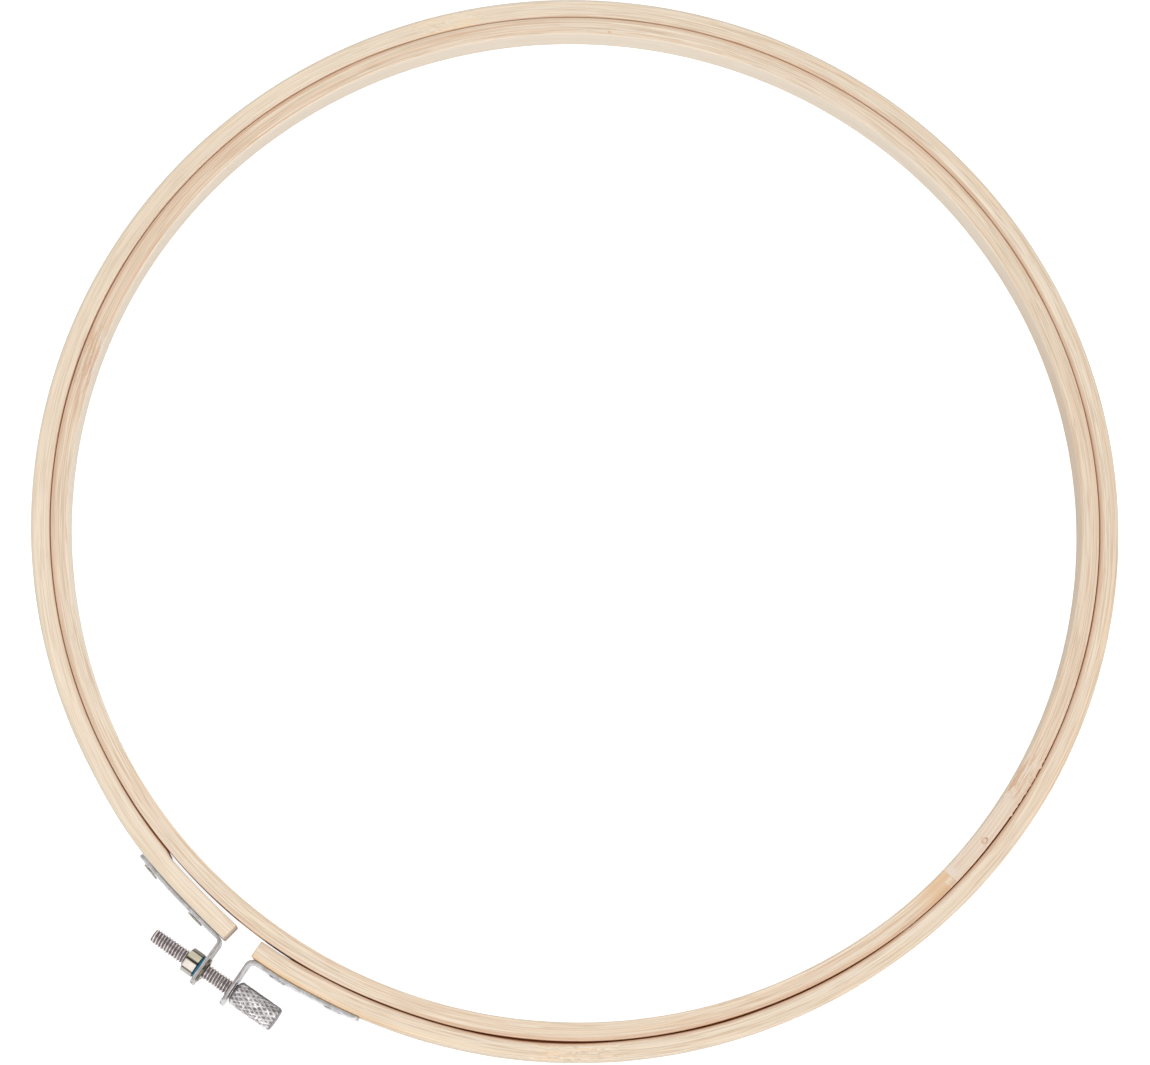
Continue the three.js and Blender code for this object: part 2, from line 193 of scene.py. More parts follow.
def spin_strip(bm, start, sweep, closed):
    """Carries a section round the Z axis from the start angle."""
    turn = Matrix.Rotation(start, 3, "Z")
    bmesh.ops.rotate(bm, cent=(0, 0, 0), matrix=turn, verts=bm.verts)
    bmesh.ops.spin(
        bm,
        geom=bm.verts[:] + bm.edges[:],
        cent=(0, 0, 0),
        axis=(0, 0, 1),
        dvec=(0, 0, 0),
        angle=sweep,
        steps=RING_STEPS,
        use_merge=closed,
        use_duplicate=False,
    )
    return bm


# %% Remember each corner's place in the strip
PLACE = "strip_place"


def remember_places(bm, start, radius):
    """Stores (millimetres along the strip, radius, height) on each face corner."""
    layer = bm.loops.layers.float_vector.new(PLACE)
    whole = 2 * math.pi
    for face in bm.faces:
        middle = face.calc_center_median()
        face_turn = (math.atan2(middle.y, middle.x) - start) % whole
        for loop in face.loops:
            x, y, z = loop.vert.co
            turn = (math.atan2(y, x) - start) % whole
            if turn - face_turn > math.pi:
                turn -= whole
            elif face_turn - turn > math.pi:
                turn += whole
            loop[layer] = (turn * radius, math.hypot(x, y), z)


# %% [markdown]
# Small faults in the wood
#
# A perfect tube of wood looks like plastic. Real strips are a few hundredths of a millimetre uneven, and
# the inner ring's edge at the cloth gap is ragged in one stretch, where the plane tore the fibres. Both are
# moved in the mesh, with a noise that depends only on the place, so the result is the same each time the
# script runs. A ring of 720 steps is too coarse for splinters, so the torn stretch first gets three cuts in
# each of its long edges. The wall across the gap is cut alike, to keep both sides of the line equally
# smooth.

# %% Uneven walls
UNEVEN = 0.03


def degrees_at(vert):
    """The polar angle of a point round the rings, in degrees."""
    return math.degrees(math.atan2(vert.co.y, vert.co.x))


def unevenness(angle, z, seed):
    """A slow, small change of radius along the strip, inwards only."""
    around = Vector((9 * math.cos(angle), 9 * math.sin(angle), seed + z / 6))
    return -UNEVEN * (0.5 + 0.5 * noise.noise(around))


# %% The torn stretch
TORN_FROM, TORN_TO = 0.5, 9.6
TORN_DEPTH = 0.45
TORN_BAND = 1.6
TORN_SEED = 11
SPLINTER_MOST = 0.6
FINER_CUTS = 3
LONG_EDGE = 1.0
CUT_DEPTH, CUT_REACH = 2.5, 1.2


def torn(degrees, z):
    """How far torn fibres stand into the cloth gap, near the top edge of a stretch of the ring."""
    inside = smooth((degrees - TORN_FROM) / 0.8) * smooth((TORN_TO - degrees) / 1.5)
    near_top = smooth((z - RING_HEIGHT + TORN_BAND) / 0.9)
    coarse = noise.noise(Vector((degrees * 2.1, TORN_SEED, 0)))
    fine = 0.5 * noise.noise(Vector((degrees * 5.3, TORN_SEED, 4)))
    return TORN_DEPTH * inside * near_top * min(max(coarse + fine + 0.12, 0), SPLINTER_MOST)


def cut_finer(bm, wanted):
    """Cuts the long edges of the faces that are wanted, so that small marks have points to move."""
    chosen = [face for face in bm.faces if wanted(face.calc_center_median())]
    edges = {edge for face in chosen for edge in face.edges}
    long_edges = [edge for edge in edges if abs(edge.verts[0].co.z - edge.verts[1].co.z) < 1e-5]
    long_edges = [edge for edge in long_edges if edge.calc_length() > LONG_EDGE]
    bmesh.ops.subdivide_edges(bm, edges=long_edges, cuts=FINER_CUTS, use_grid_fill=True)
    return len(long_edges)


def in_torn_stretch(point):
    """Whether a point lies close to the top of the cloth gap in the torn stretch."""
    degrees = math.degrees(math.atan2(point.y, point.x))
    across = abs(math.hypot(point.x, point.y) - INNER_RADIUS - CLOTH_GAP / 2)
    near_gap = point.z > RING_HEIGHT - CUT_DEPTH and across < CUT_REACH
    return TORN_FROM < degrees < TORN_TO and near_gap


# %% [markdown]
# The line between the rings
#
# From above, the cloth gap is a brown line that wanders: thin at the top and left of the picture, wide and
# nearly black at the lower right. Two things make it. Near the top, the edges of the strips were eased by
# hand, more in some stretches than in others. Below that the rings touch almost all the way round, so no
# light comes through from the floor. The outer ring's wall is moved inwards there, except close to the
# split, where the ends stand off and the floor does show between the rings. The end at the screw's head is
# even a little hollow.
#
# Opening the split turns the head's half of the ring about the bending place, which lies 8.2 degrees off
# the middle of the far side. So the first 8.2 degrees next to the split move slightly inwards, and the wall
# has to leave that much room.

# %% How far the top of the gap opens
EASED_INNER = ((-75, 12, 0.2), (-32, 20, 0.3), (0, 14, 0.2), (200, 18, 0.08))
EASED_OUTER = ((-57, 16, 0.5), (-40, 9, 0.15), (25, 22, 0.08))
EASED_DEPTH = 2.6
EASED_FADE = 1.4


def eased(degrees, hills, z):
    """The sum of a few smooth hills round the ring: middle, half width, height. It fades with depth."""
    total = 0.0
    for middle, half_width, amount in hills:
        away = abs((degrees - middle + 180) % 360 - 180)
        total += amount * smooth(1 - away / half_width)
    return total * smooth((z - RING_HEIGHT + EASED_DEPTH) / EASED_FADE)


# %% Where the rings touch below it
TOP_FILL = 0.6
TOUCH_GAP = 0.03
TOUCH_FROM = {NUT: 27.8, HEAD: 10.5}
TOUCH_RAMP = 1.8
END_HOLLOW = {NUT: 0.0, HEAD: 0.12}
HOLLOW_RAMP = 2
SWING = 4.57
HINGE_LEAN = math.radians(8.2)


def touching(along, side, z):
    """How far the outer ring's inner wall is moved inwards, low down. The opening swing keeps its room."""
    if along < TOUCH_FROM[side]:
        return -END_HOLLOW[side] * smooth((TOUCH_FROM[side] - along) / HOLLOW_RAMP)
    room = lift_at(along, side) + CLOTH_GAP - TOUCH_GAP
    if side == HEAD:
        room -= SWING * max(0, math.sin(HINGE_LEAN - along / OUTER_RADIUS))
    depth = smooth(RING_HEIGHT - z)
    moved = max(room * depth, TOP_FILL * lift_at(along, side) * (side == NUT))
    return moved * smooth((along - TOUCH_FROM[side]) / TOUCH_RAMP)


# %% [markdown]
# The inner ring
#
# This is the closed ring. Its strip starts and ends at a glued joint that shows as a sharp line across the
# top face, so the spin starts there. There is also one small round scar, where a twig grew: a dent of less
# than a fifth of a millimetre, which the mesh has as well as the material.

# %% Spin the inner ring
JOINT_ANGLE = math.radians(-7.92)
SCAR_ANGLE = math.radians(-2.41)
SCAR_RADIUS = 128.2
SCAR_SIZE = 0.8
SCAR_DEPTH = 0.16
SCAR_REACH = 2.2
INNER_MIDDLE = INNER_RADIUS - INNER_WALL / 2

bm = strip_section(INNER_RADIUS - INNER_WALL, INNER_WALL)
spin_strip(bm, JOINT_ANGLE, 2 * math.pi, closed=True)
scar = Vector((SCAR_RADIUS * math.cos(SCAR_ANGLE), SCAR_RADIUS * math.sin(SCAR_ANGLE), RING_HEIGHT))
print(cut_finer(bm, lambda point: (point - scar).length < SCAR_REACH), "edges cut finer round the scar")
print(cut_finer(bm, in_torn_stretch), "edges cut finer in the torn stretch")
remember_places(bm, JOINT_ANGLE, INNER_MIDDLE)

# %% Tear, ease and dent it
for vert in bm.verts:
    x, y, z = vert.co
    angle = math.atan2(y, x)
    across = (math.hypot(x, y) - INNER_MIDDLE) / (INNER_WALL / 2)
    move = 0.0
    if across > 0.5:
        move = torn(degrees_at(vert), z) - eased(degrees_at(vert), EASED_INNER, z)
    elif across < -0.5:
        move = unevenness(angle, z, seed=3)
    dent = SCAR_DEPTH * smooth(1.5 - (vert.co - scar).length / SCAR_SIZE) * (z > MIDDLE)
    vert.co.x += move * math.cos(angle)
    vert.co.y += move * math.sin(angle)
    vert.co.z -= dent
make_piece("inner_ring_wood", bm)

# %% [markdown]
# The outer ring
#
# The same strip, but open. Its two ends spring away from the inner ring a little, because each is held by a
# stiff bracket, and the nut's end was sawn slightly askew. The imported model has this ring as two halves
# with a hinge opposite the split. Real bamboo bends, so here it is one piece from end to end, but nothing
# here makes it bend across the hinge.

# %% Sweep the open strip
start = SPLIT_ANGLE + END_ANGLE[HEAD]
bm = strip_section(OUTER_INSIDE, OUTER_WALL - 4 * BOX_PLAY)
spin_strip(bm, start, 2 * math.pi - END_ANGLE[HEAD] - END_ANGLE[NUT], closed=False)
print(cut_finer(bm, in_torn_stretch), "edges cut finer in the torn stretch")

# %% Cap and soften the two sawn ends
SAWN_EDGE = 0.3
rims = [edge for edge in bm.edges if edge.is_boundary]
caps = bmesh.ops.holes_fill(bm, edges=rims, sides=0)["faces"]
cap_edges = {edge for cap in caps for edge in cap.edges}
bmesh.ops.bevel(
    bm,
    geom=list(cap_edges),
    offset=SAWN_EDGE,
    affect="EDGES",
    segments=3,
    profile=0.5,
    material=-1,
)
remember_places(bm, SPLIT_ANGLE, OUTER_MIDDLE)
print(len(caps), "sawn ends")

# %% Spring the ends outwards and lean the saw cuts
for vert in bm.verts:
    x, y, z = vert.co
    radius = math.hypot(x, y)
    from_split = (math.atan2(y, x) - SPLIT_ANGLE) % (2 * math.pi)
    side = HEAD if from_split < math.pi else NUT
    angle = from_split if side == HEAD else 2 * math.pi - from_split
    along = angle * OUTER_RADIUS
    lean = END_SKEW[side] * smooth((SKEW_LENGTH - along) / SKEW_LENGTH)
    across = radius - OUTER_MIDDLE
    angle += across * math.tan(lean) / radius
    true_angle = SPLIT_ANGLE + side * angle
    radius += lift_at(along, side)
    if across < -OUTER_WALL / 4:
        degrees = (math.degrees(true_angle) + 180) % 360 - 180
        radius += eased(degrees, EASED_OUTER, z) - touching(along, side, z)
    elif across > OUTER_WALL / 4:
        radius += unevenness(true_angle, z, seed=29)
    vert.co.x = radius * math.cos(true_angle)
    vert.co.y = radius * math.sin(true_angle)
make_piece("outer_ring_wood", bm)

# %% [markdown]
# The brackets
#
# Each bracket is a strip of galvanised sheet, punched flat and then bent: a long strap that follows the
# outer ring, a tight bend, and a lug that stands out for the screw. Making it the way the factory does
# gives the right edges and ends. So the strip is drawn flat with its holes, filled, extruded to its
# thickness, its sheared edges are broken with inset, and then it is cut across every half millimetre and
# laid along its path. The lugs stand where the screw carries them, so the screw's sizes come first.

# %% Bracket sizes
STRIP_THICKNESS = 0.8
STRIP_WIDTH = 6.8
BEND_RADIUS = 1.4
STRAP_REACH = 32.8
STRAP_CORNER = 1.3
LUG_CORNER = 1.1
STRAP_GAP = 0.2
LUG_TIP = 4.4
HEAD_LUG_PLAY = 0.55
HEAD_LUG_LEAN = math.radians(1.2)
SHEARED_EDGE = 0.12

# %% Screw sizes, and where its parts lie along it
SCREW_START = Vector((-18.8, -(OUTER_RADIUS + 10.13)))
SCREW_LEAN = math.radians(2.44)
SCREW_WAY = Vector((math.cos(SCREW_LEAN), math.sin(SCREW_LEAN)))
THREAD_RADIUS = 1.985
THREAD_PITCH = 0.79375
THREAD_DEPTH = 0.46
SHANK_LENGTH = 23.9
NUT_FROM = 9.8
NUT_LENGTH = 3.5
SEAT_GAP = 0.08
BLUE_THICKNESS = 0.4
BLUE_FROM = NUT_FROM + NUT_LENGTH + SEAT_GAP
BORE_RADIUS = THREAD_RADIUS + 0.3
NUT_NECK = BORE_RADIUS + 0.4
LUG_AT = {
    NUT: BLUE_FROM + BLUE_THICKNESS + SEAT_GAP + STRIP_THICKNESS / 2,
    HEAD: SHANK_LENGTH - HEAD_LUG_PLAY - STRIP_THICKNESS / 2,
}
LUG_LEAN = {NUT: SCREW_LEAN, HEAD: SCREW_LEAN + HEAD_LUG_LEAN}
LUG_HOLE = {NUT: NUT_NECK + SEAT_GAP, HEAD: BORE_RADIUS}
RIVETS_AT = {NUT: (13.1, STRAP_REACH - 4.2), HEAD: (11.4, STRAP_REACH - 6.6)}
print("lugs at", {side: round(at, 2) for side, at in LUG_AT.items()}, "mm along the screw")


# %% [markdown]
# The line that a bracket follows
#
# The strap lies on the ring, and the ring isn't round near its split. So the strap's line is taken from the
# ring's own outer face, with a clearance. The bend's place isn't known beforehand: it has to meet the strap
# on one side and the lug on the other. A few rounds of moving it by what is still missing find it.

# %% Where the strap lies on the ring
def outside_point(angle, side):
    """A point on the outer face of the outer ring, at an angle from the split."""
    radius = OUTER_RADIUS + lift_at(angle * OUTER_RADIUS, side)
    return Vector((side * radius * math.sin(angle), -radius * math.cos(angle)))


def outside_frame(angle, side, stand_off):
    """A point off the outer face, and the direction square to the face there."""
    nudge = math.radians(0.2)
    along = (outside_point(angle - nudge, side) - outside_point(angle + nudge, side)).normalized()
    normal = Vector((-side * along.y, side * along.x))
    return outside_point(angle, side) + normal * stand_off, normal


# %% The path that a bracket's middle line follows
STRAP_STEPS = 60
BEND_STEPS = 16
BEND_ROUNDS = 8
MIDDLE_STAND_OFF = STRAP_GAP + STRIP_THICKNESS / 2


def bracket_path(side):
    """Points from the strap's end, round the bend, to the tip of the lug."""
    lean = LUG_LEAN[side]
    outward = Vector((math.sin(lean), -math.cos(lean)))
    towards_split = Vector((-side * math.cos(lean), -side * math.sin(lean)))
    cross = SCREW_START + SCREW_WAY * LUG_AT[side]
    near = END_ANGLE[side]
    for _ in range(BEND_ROUNDS):
        point, normal = outside_frame(near, side, MIDDLE_STAND_OFF)
        centre = point + normal * BEND_RADIUS
        near -= ((cross - centre).dot(towards_split) - BEND_RADIUS) / OUTER_RADIUS
    far = math.asin(STRAP_REACH / OUTER_RADIUS)
    path = []
    for i in range(STRAP_STEPS):
        path.append(outside_frame(far + (near - far) * i / STRAP_STEPS, side, MIDDLE_STAND_OFF)[0])
    begin = math.atan2(-normal.y, -normal.x)
    end = math.atan2(towards_split.y, towards_split.x)
    turn = math.remainder(end - begin, 2 * math.pi)
    for i in range(BEND_STEPS + 1):
        angle = begin + turn * i / BEND_STEPS
        path.append(centre + Vector((math.cos(angle), math.sin(angle))) * BEND_RADIUS)
    path.append(cross + outward * (LUG_TIP - BOX_PLAY))
    return path


# %% [markdown]
# A punched plate
#
# The nut needs the same steps as the brackets: an outline, holes, a thickness and broken edges. So one
# helper makes any punched plate, in the XY plane. triangle_fill is the operator that fills an outline and
# leaves the loops inside it open.


# %% Helper for punched plates
PLATE_CORNER_STEPS = 8
HOLE_SIDES = 40


def punched_plate(corners, rounds, holes, thickness, edge):
    """A flat plate with rounded corners and round holes, its thickness along Z from 0."""
    bm = bmesh.new()
    bm.faces.new([bm.verts.new((x, y, edge)) for x, y in corners])
    bm.verts.ensure_lookup_table()
    marked = list(zip(bm.verts[:], rounds))
    for vert, size in marked:
        bmesh.ops.bevel(
            bm,
            geom=[vert],
            offset=size,
            affect="VERTICES",
            segments=PLATE_CORNER_STEPS,
            profile=0.5,
            material=-1,
        )
    bmesh.ops.delete(bm, geom=bm.faces[:], context="FACES_ONLY")
    for x, y, radius in holes:
        place = Matrix.Translation((x, y, edge))
        bmesh.ops.create_circle(bm, segments=HOLE_SIDES, radius=radius, matrix=place)
    bmesh.ops.triangle_fill(bm, use_beauty=True, use_dissolve=False, edges=bm.edges[:], normal=(0, 0, 1))
    raised = bmesh.ops.extrude_face_region(bm, geom=bm.faces[:])["geom"]
    up = [item for item in raised if isinstance(item, bmesh.types.BMVert)]
    bmesh.ops.translate(bm, vec=(0, 0, thickness - 2 * edge), verts=up)
    bmesh.ops.recalc_face_normals(bm, faces=bm.faces)
    for way in (1, -1):
        flat = [face for face in bm.faces if face.normal.z * way > 0.99]
        bmesh.ops.inset_region(
            bm, faces=flat, use_boundary=True, use_even_offset=True, thickness=edge, depth=edge
        )
    return bm


# %% [markdown]
# Bending the strip
#
# A press bends the flat strip round a form. In the mesh, each point's distance along the flat strip says
# where on the path it goes, and its place in the thickness says how far off the path. The directions of
# neighbouring stretches are mixed, so the bend is smooth. A strip that is cut across often enough follows
# the path without flat spots, and half a millimetre is enough here.

# %% Lay a punched strip along its path
CUT_EVERY = 0.5


def walk(path):
    """How far along the path each of its points lies."""
    lengths = [0.0]
    for before, after in zip(path, path[1:]):
        lengths.append(lengths[-1] + (after - before).length)
    return lengths


def lay_along(bm, path, lengths):
    """Bends a flat strip: X becomes the distance along the path, Y the height and Z the thickness."""
    for vert in bm.verts:
        along, across, through = vert.co
        step = max(i for i in range(len(path) - 1) if lengths[i] <= max(along, 0))
        share = (along - lengths[step]) / (lengths[step + 1] - lengths[step])
        here = (path[step + 1] - path[step]).normalized()
        before = (path[step] - path[step - 1]).normalized() if step else here
        after = (path[step + 2] - path[step + 1]).normalized() if step + 2 < len(path) else here
        way = (before + here).normalized().lerp((here + after).normalized(), share).normalized()
        point = path[step].lerp(path[step + 1], share)
        point += Vector((-way.y, way.x)) * (through - STRIP_THICKNESS / 2)
        vert.co = (point.x, point.y, MIDDLE + across)


# %% [markdown]
# Holes, dents and dirt
#
# Each rivet hole goes to the point of the strip that ends up under its rivet. The strap was hammered
# against the ring, so its outer face is dented by a few hundredths of a millimetre, and its inner face lies
# closer to the wood than the imported solids' clearance. Dirt lies on the lug, and the face towards the
# wood, which on the lug faces the split, is darkened as painted shade. Each point remembers how much, in
# the attribute that the thread further on uses for its grooves.

# %% Helpers for the holes, dents, dirt and painted shade of a strip
RIVET_HOLE = 1.22
GROOVE = "groove_depth"
HAMMERED = 0.035
WOOD_GAP = 0.04
LUG_PART, LUG_FADE = 12, 3
# Dirt on the lug, and painted shade on the face towards the wood.
LUG_DIRT, WOOD_SIDE_SHADE = 0.45, 0.55


def rivet_holes(path, lengths, side):
    """The holes of a strap's two rivets, as places on the flat strip."""
    holes = []
    for distance in RIVETS_AT[side]:
        under_rivet = outside_frame(math.asin(distance / OUTER_RADIUS), side, MIDDLE_STAND_OFF)[0]
        nearest = min(range(len(path)), key=lambda i: (path[i] - under_rivet).length)
        holes.append((lengths[nearest], 0, RIVET_HOLE))
    return holes


def hammer(bm, length, side):
    """Marks dirt and painted shade on a flat strip, presses its strap towards the wood and dents its outer
    face.
    """
    dirt_and_shade = bm.verts.layers.float.new(GROOVE)
    for vert in bm.verts:
        strap = smooth((length - LUG_PART - vert.co.x) / LUG_FADE)
        vert[dirt_and_shade] = LUG_DIRT * (1 - strap)
        # The face towards the wood, which on the lug faces the split, is marked darker: painted shade.
        if (vert.co.z - STRIP_THICKNESS / 2) * side < 0:
            vert[dirt_and_shade] += WOOD_SIDE_SHADE
            vert.co.z -= side * (STRAP_GAP - WOOD_GAP) * strap
        else:
            dents = 1 + noise.noise(Vector((vert.co.x * 0.9, vert.co.y * 0.5, side)))
            vert.co.z -= side * HAMMERED * strap * dents


# %% Make both brackets
HALF_WIDTH = STRIP_WIDTH / 2
for side, name in ((NUT, "nut_bracket_steel"), (HEAD, "head_bracket_steel")):
    path = bracket_path(side)
    lengths = walk(path)
    length = lengths[-1]
    corners = [(0, -HALF_WIDTH), (length, -HALF_WIDTH), (length, HALF_WIDTH), (0, HALF_WIDTH)]
    rounds = [STRAP_CORNER, LUG_CORNER, LUG_CORNER, STRAP_CORNER]
    holes = [(length - LUG_TIP, 0, LUG_HOLE[side])] + rivet_holes(path, lengths, side)
    bm = punched_plate(corners, rounds, holes, STRIP_THICKNESS, SHEARED_EDGE)
    for i in range(1, int(length / CUT_EVERY)):
        everything = bm.verts[:] + bm.edges[:] + bm.faces[:]
        bmesh.ops.bisect_plane(bm, geom=everything, plane_co=(i * CUT_EVERY, 0, 0), plane_no=(1, 0, 0))
    hammer(bm, length, side)
    lay_along(bm, path, lengths)
    bmesh.ops.triangulate(bm, faces=bm.faces)
    make_piece(name, bm, sharp=28)
    print(f"{name} is {length:.1f} mm of strip")

# %% [markdown]
# Turned parts
#
# The rivets, the collar, the blue ring, the neck and the head are all round about an axis, as if turned on
# a lathe. Each is drawn as half a profile, distance along the axis against radius, and spun right round.
# Round corners in a profile are written as arcs.


# %% Helpers for turned parts
def arc(centre_x, centre_r, radius, begin, end, steps=4):
    """Profile points on a round corner, between two angles in degrees."""
    points = []
    for i in range(steps + 1):
        angle = math.radians(begin + (end - begin) * i / steps)
        points.append((centre_x + radius * math.cos(angle), centre_r + radius * math.sin(angle)))
    return points


def turned(profile, sides, closed=False):
    """Spins a profile about the X axis. A closed profile makes a ring with a hole."""
    bm = bmesh.new()
    verts = [bm.verts.new((x, r, 0)) for x, r in profile]
    pairs = list(zip(verts, verts[1:]))
    if closed:
        pairs.append((verts[-1], verts[0]))
    edges = [bm.edges.new(pair) for pair in pairs]
    bmesh.ops.spin(
        bm,
        geom=verts + edges,
        cent=(0, 0, 0),
        axis=(1, 0, 0),
        dvec=(0, 0, 0),
        angle=2 * math.pi,
        steps=sides,
        use_merge=True,
        use_duplicate=False,
    )
    bmesh.ops.remove_doubles(bm, verts=bm.verts, dist=1e-4)
    return bm


def stand(bm, point, way):
    """Moves work that was made along X to a point at mid height, with its axis along the given way."""
    turn = Matrix.Rotation(math.atan2(way.y, way.x), 4, "Z")
    bmesh.ops.transform(bm, matrix=Matrix.Translation((point.x, point.y, MIDDLE)) @ turn, verts=bm.verts)
    return bm


# %% [markdown]
# The rivets
#
# Four rolled rivets hold the straps. Seen from above they are low, wide buttons, taller on the nut's side.
# A rolled head is a ring with a dimple in its middle, since the punch curls a short tube outwards, and the
# curl splits a little, so its rim isn't quite round. The shank below it goes through the strap into the
# bamboo. The profile is spun, and then the splits are pulled in at a few places round the rim.

# %% A rivet's profile
RIVET_RADIUS = 2.28
RIVET_RISE = {NUT: 0.42, HEAD: 0.26}
RIVET_SHANK = 1.1
RIVET_LENGTH = 4.3
TIP_TAPER, TIP_LENGTH = 0.2, 0.3
RIVET_SEAT = STRAP_GAP + STRIP_THICKNESS + 0.03
RIM_EDGE = 0.08
DIMPLE_RADIUS = 0.75
DIMPLE_DEPTH = 0.2
DIMPLE_EDGE = 0.12
ROLL = 0.2


def rivet_profile(rise):
    """Half a rivet, from the tip of its shank to the bottom of its dimple. 0 is the wood's surface."""
    top = RIVET_SEAT + rise
    tip = RIVET_SEAT - RIVET_LENGTH
    profile = [(tip, 0), (tip, RIVET_SHANK - TIP_TAPER), (tip + TIP_LENGTH, RIVET_SHANK)]
    profile += [(RIVET_SEAT, RIVET_SHANK)]
    profile += [(RIVET_SEAT, RIVET_RADIUS - RIM_EDGE), (RIVET_SEAT + RIM_EDGE, RIVET_RADIUS)]
    profile += arc(top - ROLL, RIVET_RADIUS - ROLL, ROLL, 90, 0)
    profile += arc(top - DIMPLE_EDGE, DIMPLE_RADIUS + DIMPLE_EDGE, DIMPLE_EDGE, 0, -90, steps=3)
    profile += [(top - DIMPLE_DEPTH, DIMPLE_RADIUS * 0.8), (top - DIMPLE_DEPTH, 0)]
    return profile


# %% Spin the four rivets and split their curls
RIVET_SIDES = 56
CURL_SPLITS = 7
SPLIT_SHARPNESS = 6
SPLIT_IN, SPLIT_DOWN = 0.07, 0.12


def split_curl(bm, turned_by):
    """Pulls the rim in and down at a few places round it."""
    for vert in bm.verts:
        out = math.hypot(vert.co.y, vert.co.z)
        if out > DIMPLE_RADIUS and vert.co.x >= RIVET_SEAT:
            around = math.atan2(vert.co.z, vert.co.y)
            split = max(0, math.cos(CURL_SPLITS * around + turned_by)) ** SPLIT_SHARPNESS
            share = (out - DIMPLE_RADIUS) / (RIVET_RADIUS - DIMPLE_RADIUS)
            vert.co.y *= 1 - SPLIT_IN * split * share
            vert.co.z *= 1 - SPLIT_IN * split * share
            if vert.co.x > RIVET_SEAT + 0.1:
                vert.co.x -= SPLIT_DOWN * split * share


for side, name in ((NUT, "nut_bracket"), (HEAD, "head_bracket")):
    for number, distance in enumerate(RIVETS_AT[side], 1):
        bm = turned(rivet_profile(RIVET_RISE[side]), RIVET_SIDES)
        split_curl(bm, number * side)
        point, normal = outside_frame(math.asin(distance / OUTER_RADIUS), side, 0)
        make_piece(f"{name}_rivet_{number}_steel", stand(bm, point, normal), sharp=30)


# %% [markdown]
# The nut
#
# The nut is an eight-sided block with slightly worn corners, so it is a thick punched plate with eight
# corners, laid over so that its hole points along the screw. The helper before it puts a piece at a
# distance along the screw, for the nut and for every part that follows.


# %% Place a piece at a distance along the screw
def on_screw(bm, along=0.0):
    """Moves work that was made along X onto the screw's axis."""
    return stand(bm, SCREW_START + SCREW_WAY * along, SCREW_WAY)


# %% Nut
NUT_CORNER_RADIUS = BORE_RADIUS + 0.935
NUT_CORNERS = 8
NUT_WEAR = 0.34
NUT_EDGE = 0.28
corners = []
for i in range(NUT_CORNERS):
    angle = 2 * math.pi * i / NUT_CORNERS
    corners.append((NUT_CORNER_RADIUS * math.cos(angle), NUT_CORNER_RADIUS * math.sin(angle)))
bm = punched_plate(corners, [NUT_WEAR] * NUT_CORNERS, [(0, 0, BORE_RADIUS)], NUT_LENGTH, NUT_EDGE)
upright = Matrix.Rotation(math.radians(90), 4, "Y")
bmesh.ops.transform(bm, matrix=upright, verts=bm.verts)
make_piece("clinch_nut_nickel", on_screw(bm, NUT_FROM), sharp=25)

# %% [markdown]
# The nut's neck and collar
#
# The nut is pressed into its lug: a short neck goes through, and its end is swaged over into a collar on
# the far side, which keeps the nut from turning. Neck and collar are one closed profile round the bore. The
# press leaves two round beads on the collar with a groove between them.

# %% Neck and swaged collar
COLLAR_RADIUS = NUT_NECK + 0.505
COLLAR_THICKNESS = 0.5
COLLAR_FROM = LUG_AT[NUT] + STRIP_THICKNESS / 2 + SEAT_GAP
COLLAR_SIDES = 72
NEAR_BEAD, FAR_BEAD = 0.13, 0.12
FAR_BEAD_LOWER = 0.08
BEAD_GROOVE = 0.32
neck_from = NUT_FROM + NUT_LENGTH + 0.01
collar_to = COLLAR_FROM + COLLAR_THICKNESS
first, second = COLLAR_FROM + NEAR_BEAD, collar_to - FAR_BEAD
profile = [(neck_from, BORE_RADIUS), (neck_from, NUT_NECK), (COLLAR_FROM, NUT_NECK)]
profile += arc(first, COLLAR_RADIUS - NEAR_BEAD, NEAR_BEAD, 180, 20)
profile += [(first + 0.14, COLLAR_RADIUS - BEAD_GROOVE)]
profile += arc(second, COLLAR_RADIUS - FAR_BEAD_LOWER - FAR_BEAD, FAR_BEAD, 140, 0)
profile += [(collar_to, BORE_RADIUS + 0.1), (collar_to - 0.1, BORE_RADIUS)]
make_piece("nut_collar_nickel", on_screw(turned(profile, COLLAR_SIDES, closed=True)))

# %% [markdown]
# The blue ring
#
# A thin ring of nylon is squeezed between the nut and its lug, so it swells until it nearly touches both
# and bulges out round its rim. Half its thickness is the radius of that bulge.

# %% Blue ring
BLUE_HOLE = NUT_NECK + SEAT_GAP
BLUE_RADIUS = BLUE_HOLE + 0.355
BLUE_SWELL = 0.06
BLUE_SIDES = 64
half = BLUE_THICKNESS / 2 + BLUE_SWELL
blue_middle = BLUE_FROM + BLUE_THICKNESS / 2
profile = [(blue_middle - half, BLUE_HOLE)]
profile += arc(blue_middle, BLUE_RADIUS - half, half, 180, 0, steps=8)
profile += [(blue_middle + half, BLUE_HOLE)]
make_piece("blue_ring_nylon", on_screw(turned(profile, BLUE_SIDES, closed=True)))

# %% [markdown]
# The thread
#
# A screw thread is a small tooth carried round and along at the same time. The spin operator does exactly
# that when it is also given a step along the axis. One pitch of the tooth is drawn, spun for three turns
# more than the screw is long, and welded to its neighbours. Two cuts square to the axis trim it, and the
# first turn is turned down to a lead-in. The grooves are darkened as painted shade, mixed with grease, so
# each point also remembers how deep in a groove it is, and the material reads that.

# %% One tooth, and a memory of the grooves
TURN_STEPS = 36
SPARE_TURNS = 3
root = THREAD_RADIUS - THREAD_DEPTH
tooth = [(0, root), (0.1, root), (0.44, THREAD_RADIUS), (0.56, THREAD_RADIUS), (0.9, root), (1, root)]
turns = math.ceil(SHANK_LENGTH / THREAD_PITCH) + SPARE_TURNS


